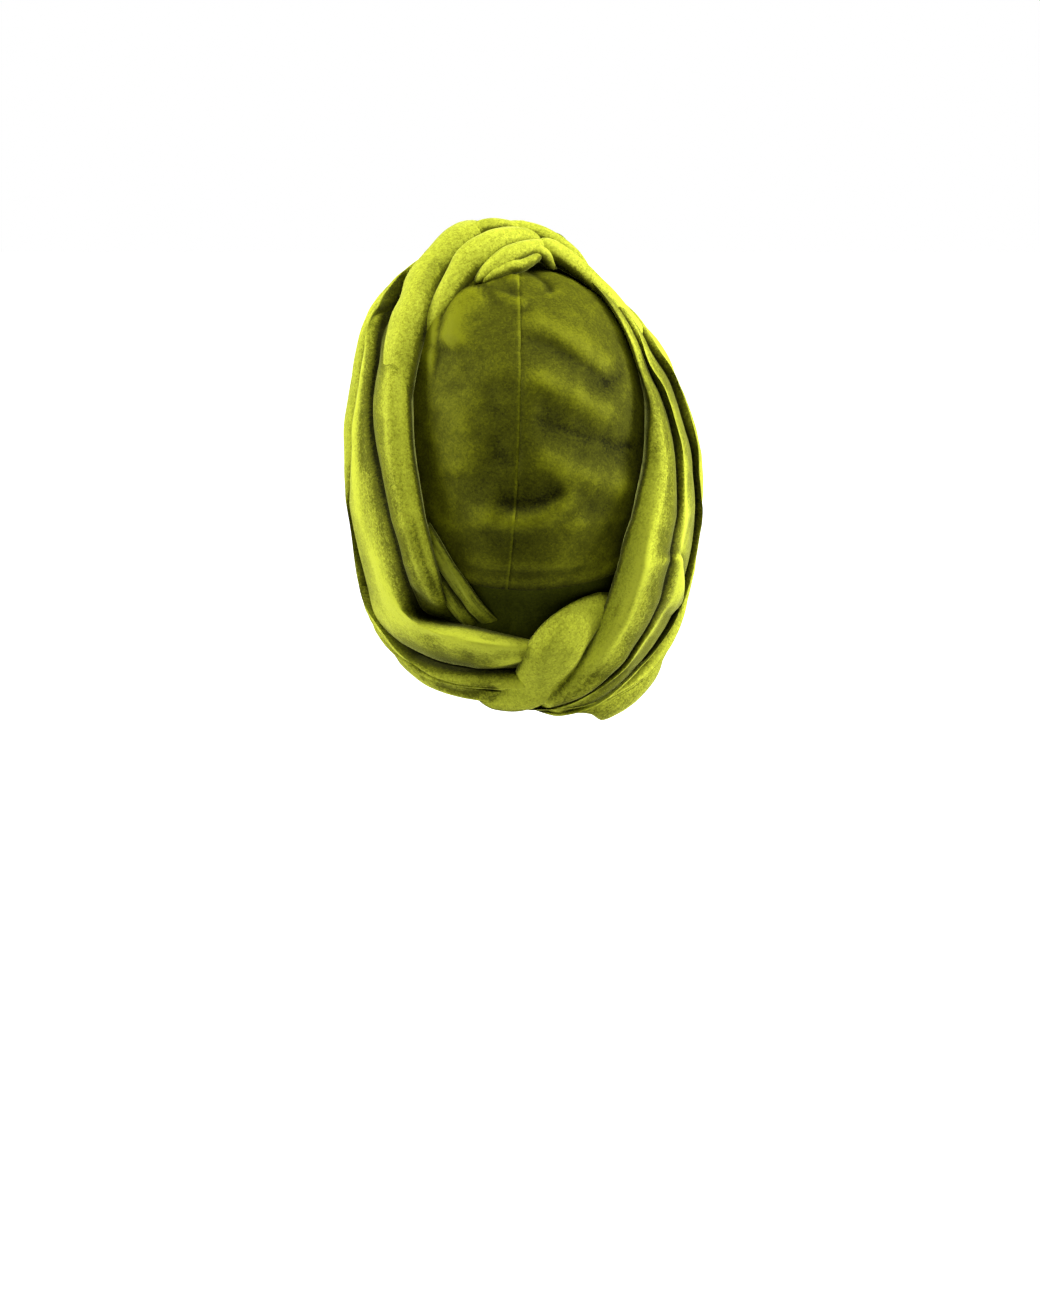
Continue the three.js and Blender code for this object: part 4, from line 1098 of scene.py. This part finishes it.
def velvet(name, valley, middle, crest, sheen, crush, streaks, painted_light_offset):
    """A velvet with the colours of its valleys, middle heights and crests: painted shade in the
    valleys, a painted highlight on the crests.
    """
    material = bpy.data.materials.new(name)
    material.use_nodes = True
    tree = material.node_tree
    shader = tree.nodes["Principled BSDF"]
    pile = tree.nodes.new("ShaderNodeGroup")
    pile.node_tree = PILE
    for key, value in (("Valley", valley), ("Middle", middle), ("Crest", crest)):
        pile.inputs[key].default_value = (*value, 1)
    for key, value in (("Crush", crush), ("Streaks", streaks), ("Painted light offset", painted_light_offset)):
        pile.inputs[key].default_value = value
    height = pile.outputs["Height"]
    bump = add(tree, "ShaderNodeBump", Strength=PILE_RELIEF, Distance=PILE_HEIGHT, Height=height)
    tree.links.new(pile.outputs["Color"], shader.inputs["Base Color"])
    tree.links.new(pile.outputs["Roughness"], shader.inputs["Roughness"])
    tree.links.new(bump.outputs[0], shader.inputs["Normal"])
    shader.inputs["Sheen Weight"].default_value = sheen
    shader.inputs["Sheen Roughness"].default_value = SHEEN_ROUGHNESS
    shader.inputs["Sheen Tint"].default_value = (*SHEEN_TINT, 1)
    shader.inputs["Specular IOR Level"].default_value = SPECULAR
    return material


# The wraps' velvet: its valley colour is painted shade and its crest colour a painted highlight.
WRAP_VELVET = velvet(
    "chartreuse velvet", (0.012, 0.013, 0.0005), (0.105, 0.114, 0.004), (0.48, 0.525, 0.035),
    sheen=0.65, crush=0.2, streaks=0.15, painted_light_offset=-0.15,
)
# The cap's velvet: darker colours and less sheen than the wraps', painted shade on the cap where it
# faces the eye.
SHADED_CAP_VELVET = velvet(
    "cap velvet in painted shade", (0.01, 0.0105, 0.0003), (0.06, 0.064, 0.001), (0.16, 0.172, 0.003),
    sheen=0.08, crush=0.3, streaks=0.05, painted_light_offset=-0.12,
)
# The band's velvet: the same velvet in darker colours, painted shade under the hem.
SHADED_BAND_VELVET = velvet(
    "band velvet in painted shade", (0.01, 0.012, 0.0004), (0.035, 0.042, 0.0008), (0.07, 0.08, 0.001),
    sheen=0.1, crush=0.4, streaks=0.05, painted_light_offset=0.0,
)
# The gathered end's velvet: the wraps' velvet in darker colours, painted shade where it is tucked
# between the bundle and the cap.
SHADED_END_VELVET = velvet(
    "tucked velvet in painted shade", (0.012, 0.013, 0.0005), (0.058, 0.064, 0.003), (0.24, 0.265, 0.016),
    sheen=0.5, crush=0.4, streaks=0.9, painted_light_offset=-0.1,
)


# Pieces

# Rings along a bundle, and points from each fold's crest to its valley
STEPS, FINE = ((400, 16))
CENTRE_STEPS = 120
END_STEPS = 70
END_FINE = 10
WRAP_EDGES = (8.0, 14.0)
CENTRE_EDGES = (10.0, 10.0)
END_EDGES = (7.0, 7.0)
END_DEPTH = 2.4

left = bundle(LEFT_FOLDS, WRAP_EDGES, STEPS, FINE, LEFT_VALLEYS, sharp=(0, 0.2, 0, 0, 0, 0))
right = bundle(RIGHT_FOLDS, WRAP_EDGES, STEPS, FINE, RIGHT_VALLEYS, sharp=(0, 0.3, 0.2, 0, 0, 0))
centre = bundle(CENTRE_FOLDS, CENTRE_EDGES, CENTRE_STEPS, FINE)
end = bundle(END_FOLDS, END_EDGES, END_STEPS, END_FINE, lip=0.5, undercut=0.5, depth=END_DEPTH)
left_rolls = [drawn(rows) for rows in LEFT_ROLLS.values()]
right_rolls = [drawn(rows) for rows in RIGHT_ROLLS.values()]
crossing = drawn(CROSSING, put=place)

cap_left = cap_panel("cap_left", 1)
cap_right = cap_panel("cap_right", -1)
band = nape_band("band_at_nape")
folds_left = cloth_piece("folds_left", [left, *left_rolls], LEFT_STROKES)
folds_right = cloth_piece("folds_right", [right, *right_rolls, crossing], RIGHT_STROKES)
folds_centre = cloth_piece("folds_centre", [centre])
gathered_end = cloth_piece("gathered_end", [end], END_STROKES)

for piece, node, slot, material in (
    (cap_left, "cap_panel_left", "cap_velvet", SHADED_CAP_VELVET),
    (cap_right, "cap_panel_right", "cap_velvet", SHADED_CAP_VELVET),
    (band, "nape_band", "band_velvet", SHADED_BAND_VELVET),
    (folds_left, "wrap_left", "wrap_velvet", WRAP_VELVET),
    (folds_right, "wrap_right", "wrap_velvet", WRAP_VELVET),
    (folds_centre, "centre_wrap", "wrap_velvet", WRAP_VELVET),
    (gathered_end, "tucked_end", "wrap_velvet", SHADED_END_VELVET),
):
    piece.data.materials.append(material)
    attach(piece, "root")
    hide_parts(node)


# Stage, light and camera, in metres and watts

FLOOR_SIZE = 30
FLOOR_HEIGHT = -0.5
FLOOR_GREY = (0.6, 0.6, 0.6, 1)
FLOOR_GLOW = 1.5
SKY_LIGHT = 0.04
WHITE = (1, 1, 1, 1)
AIM = Vector((0, 0, -0.01))
LAMPS = {
    # size, power and place
    "side light left": ((0.4, 1.2), 31, (1.3, 0.15, 0.5)),
    "side light right": ((0.4, 1.2), 38, (-1.3, 0.15, 0.45)),
    "top light": ((0.9, 0.6), 15, (-0.55, 0.35, 1.3)),
    "front fill": ((0.8, 0.5), 13, (0.0, 0.85, 1.6)),
}


def softbox(name, size, power, at):
    """A rectangular lamp that looks at the headwrap."""
    lamp = bpy.data.lights.new(name, "AREA")
    lamp.shape = "RECTANGLE"
    lamp.size, lamp.size_y = size
    lamp.energy = power
    obj = bpy.data.objects.new(name, lamp)
    obj.location = at
    obj.rotation_euler = (AIM - Vector(at)).to_track_quat("-Z", "Y").to_euler()
    bpy.context.collection.objects.link(obj)


def white_floor():
    """A grey floor that the camera sees as white."""
    half = FLOOR_SIZE / 2
    mesh = bpy.data.meshes.new("floor")
    corners = [(-half, -half, 0), (half, -half, 0), (half, half, 0), (-half, half, 0)]
    mesh.from_pydata(corners, [], [(0, 1, 2, 3)])
    obj = bpy.data.objects.new("floor", mesh)
    obj.location = (0, 0, FLOOR_HEIGHT)
    bpy.context.collection.objects.link(obj)
    material = bpy.data.materials.new("floor")
    material.use_nodes = True
    tree = material.node_tree
    shader = tree.nodes["Principled BSDF"].inputs
    shader["Base Color"].default_value = FLOOR_GREY
    shader["Roughness"].default_value = 0.9
    shader["Emission Color"].default_value = WHITE
    by_camera = add(tree, "ShaderNodeLightPath").outputs["Is Camera Ray"]
    tree.links.new(math_of(tree, "MULTIPLY", by_camera, FLOOR_GLOW), shader["Emission Strength"])
    mesh.materials.append(material)
    return obj


white_floor()

world = bpy.data.worlds.new("studio")
world.use_nodes = True
sky = world.node_tree.nodes["Background"]
sky.inputs[0].default_value = WHITE
by_camera = add(world.node_tree, "ShaderNodeLightPath").outputs["Is Camera Ray"]
world.node_tree.links.new(math_of(world.node_tree, "MAXIMUM", by_camera, SKY_LIGHT), sky.inputs[1])
bpy.context.scene.world = world

for lamp_name, (size, power, at) in LAMPS.items():
    softbox(lamp_name, size, power, at)

camera_data = bpy.data.cameras.new("camera")
camera = bpy.data.objects.new("camera", camera_data)
camera_data.sensor_width = 36
camera_data.lens = 60
camera.location = ((EYE[0] + MIDDLE_ASIDE) / 1000, EYE[1] / 1000, EYE[2] / 1000)
camera.rotation_euler = (math.pi / 2 - PITCH, 0, math.pi)
bpy.context.collection.objects.link(camera)
bpy.context.scene.camera = camera
bpy.context.scene.view_settings.view_transform = "Standard"
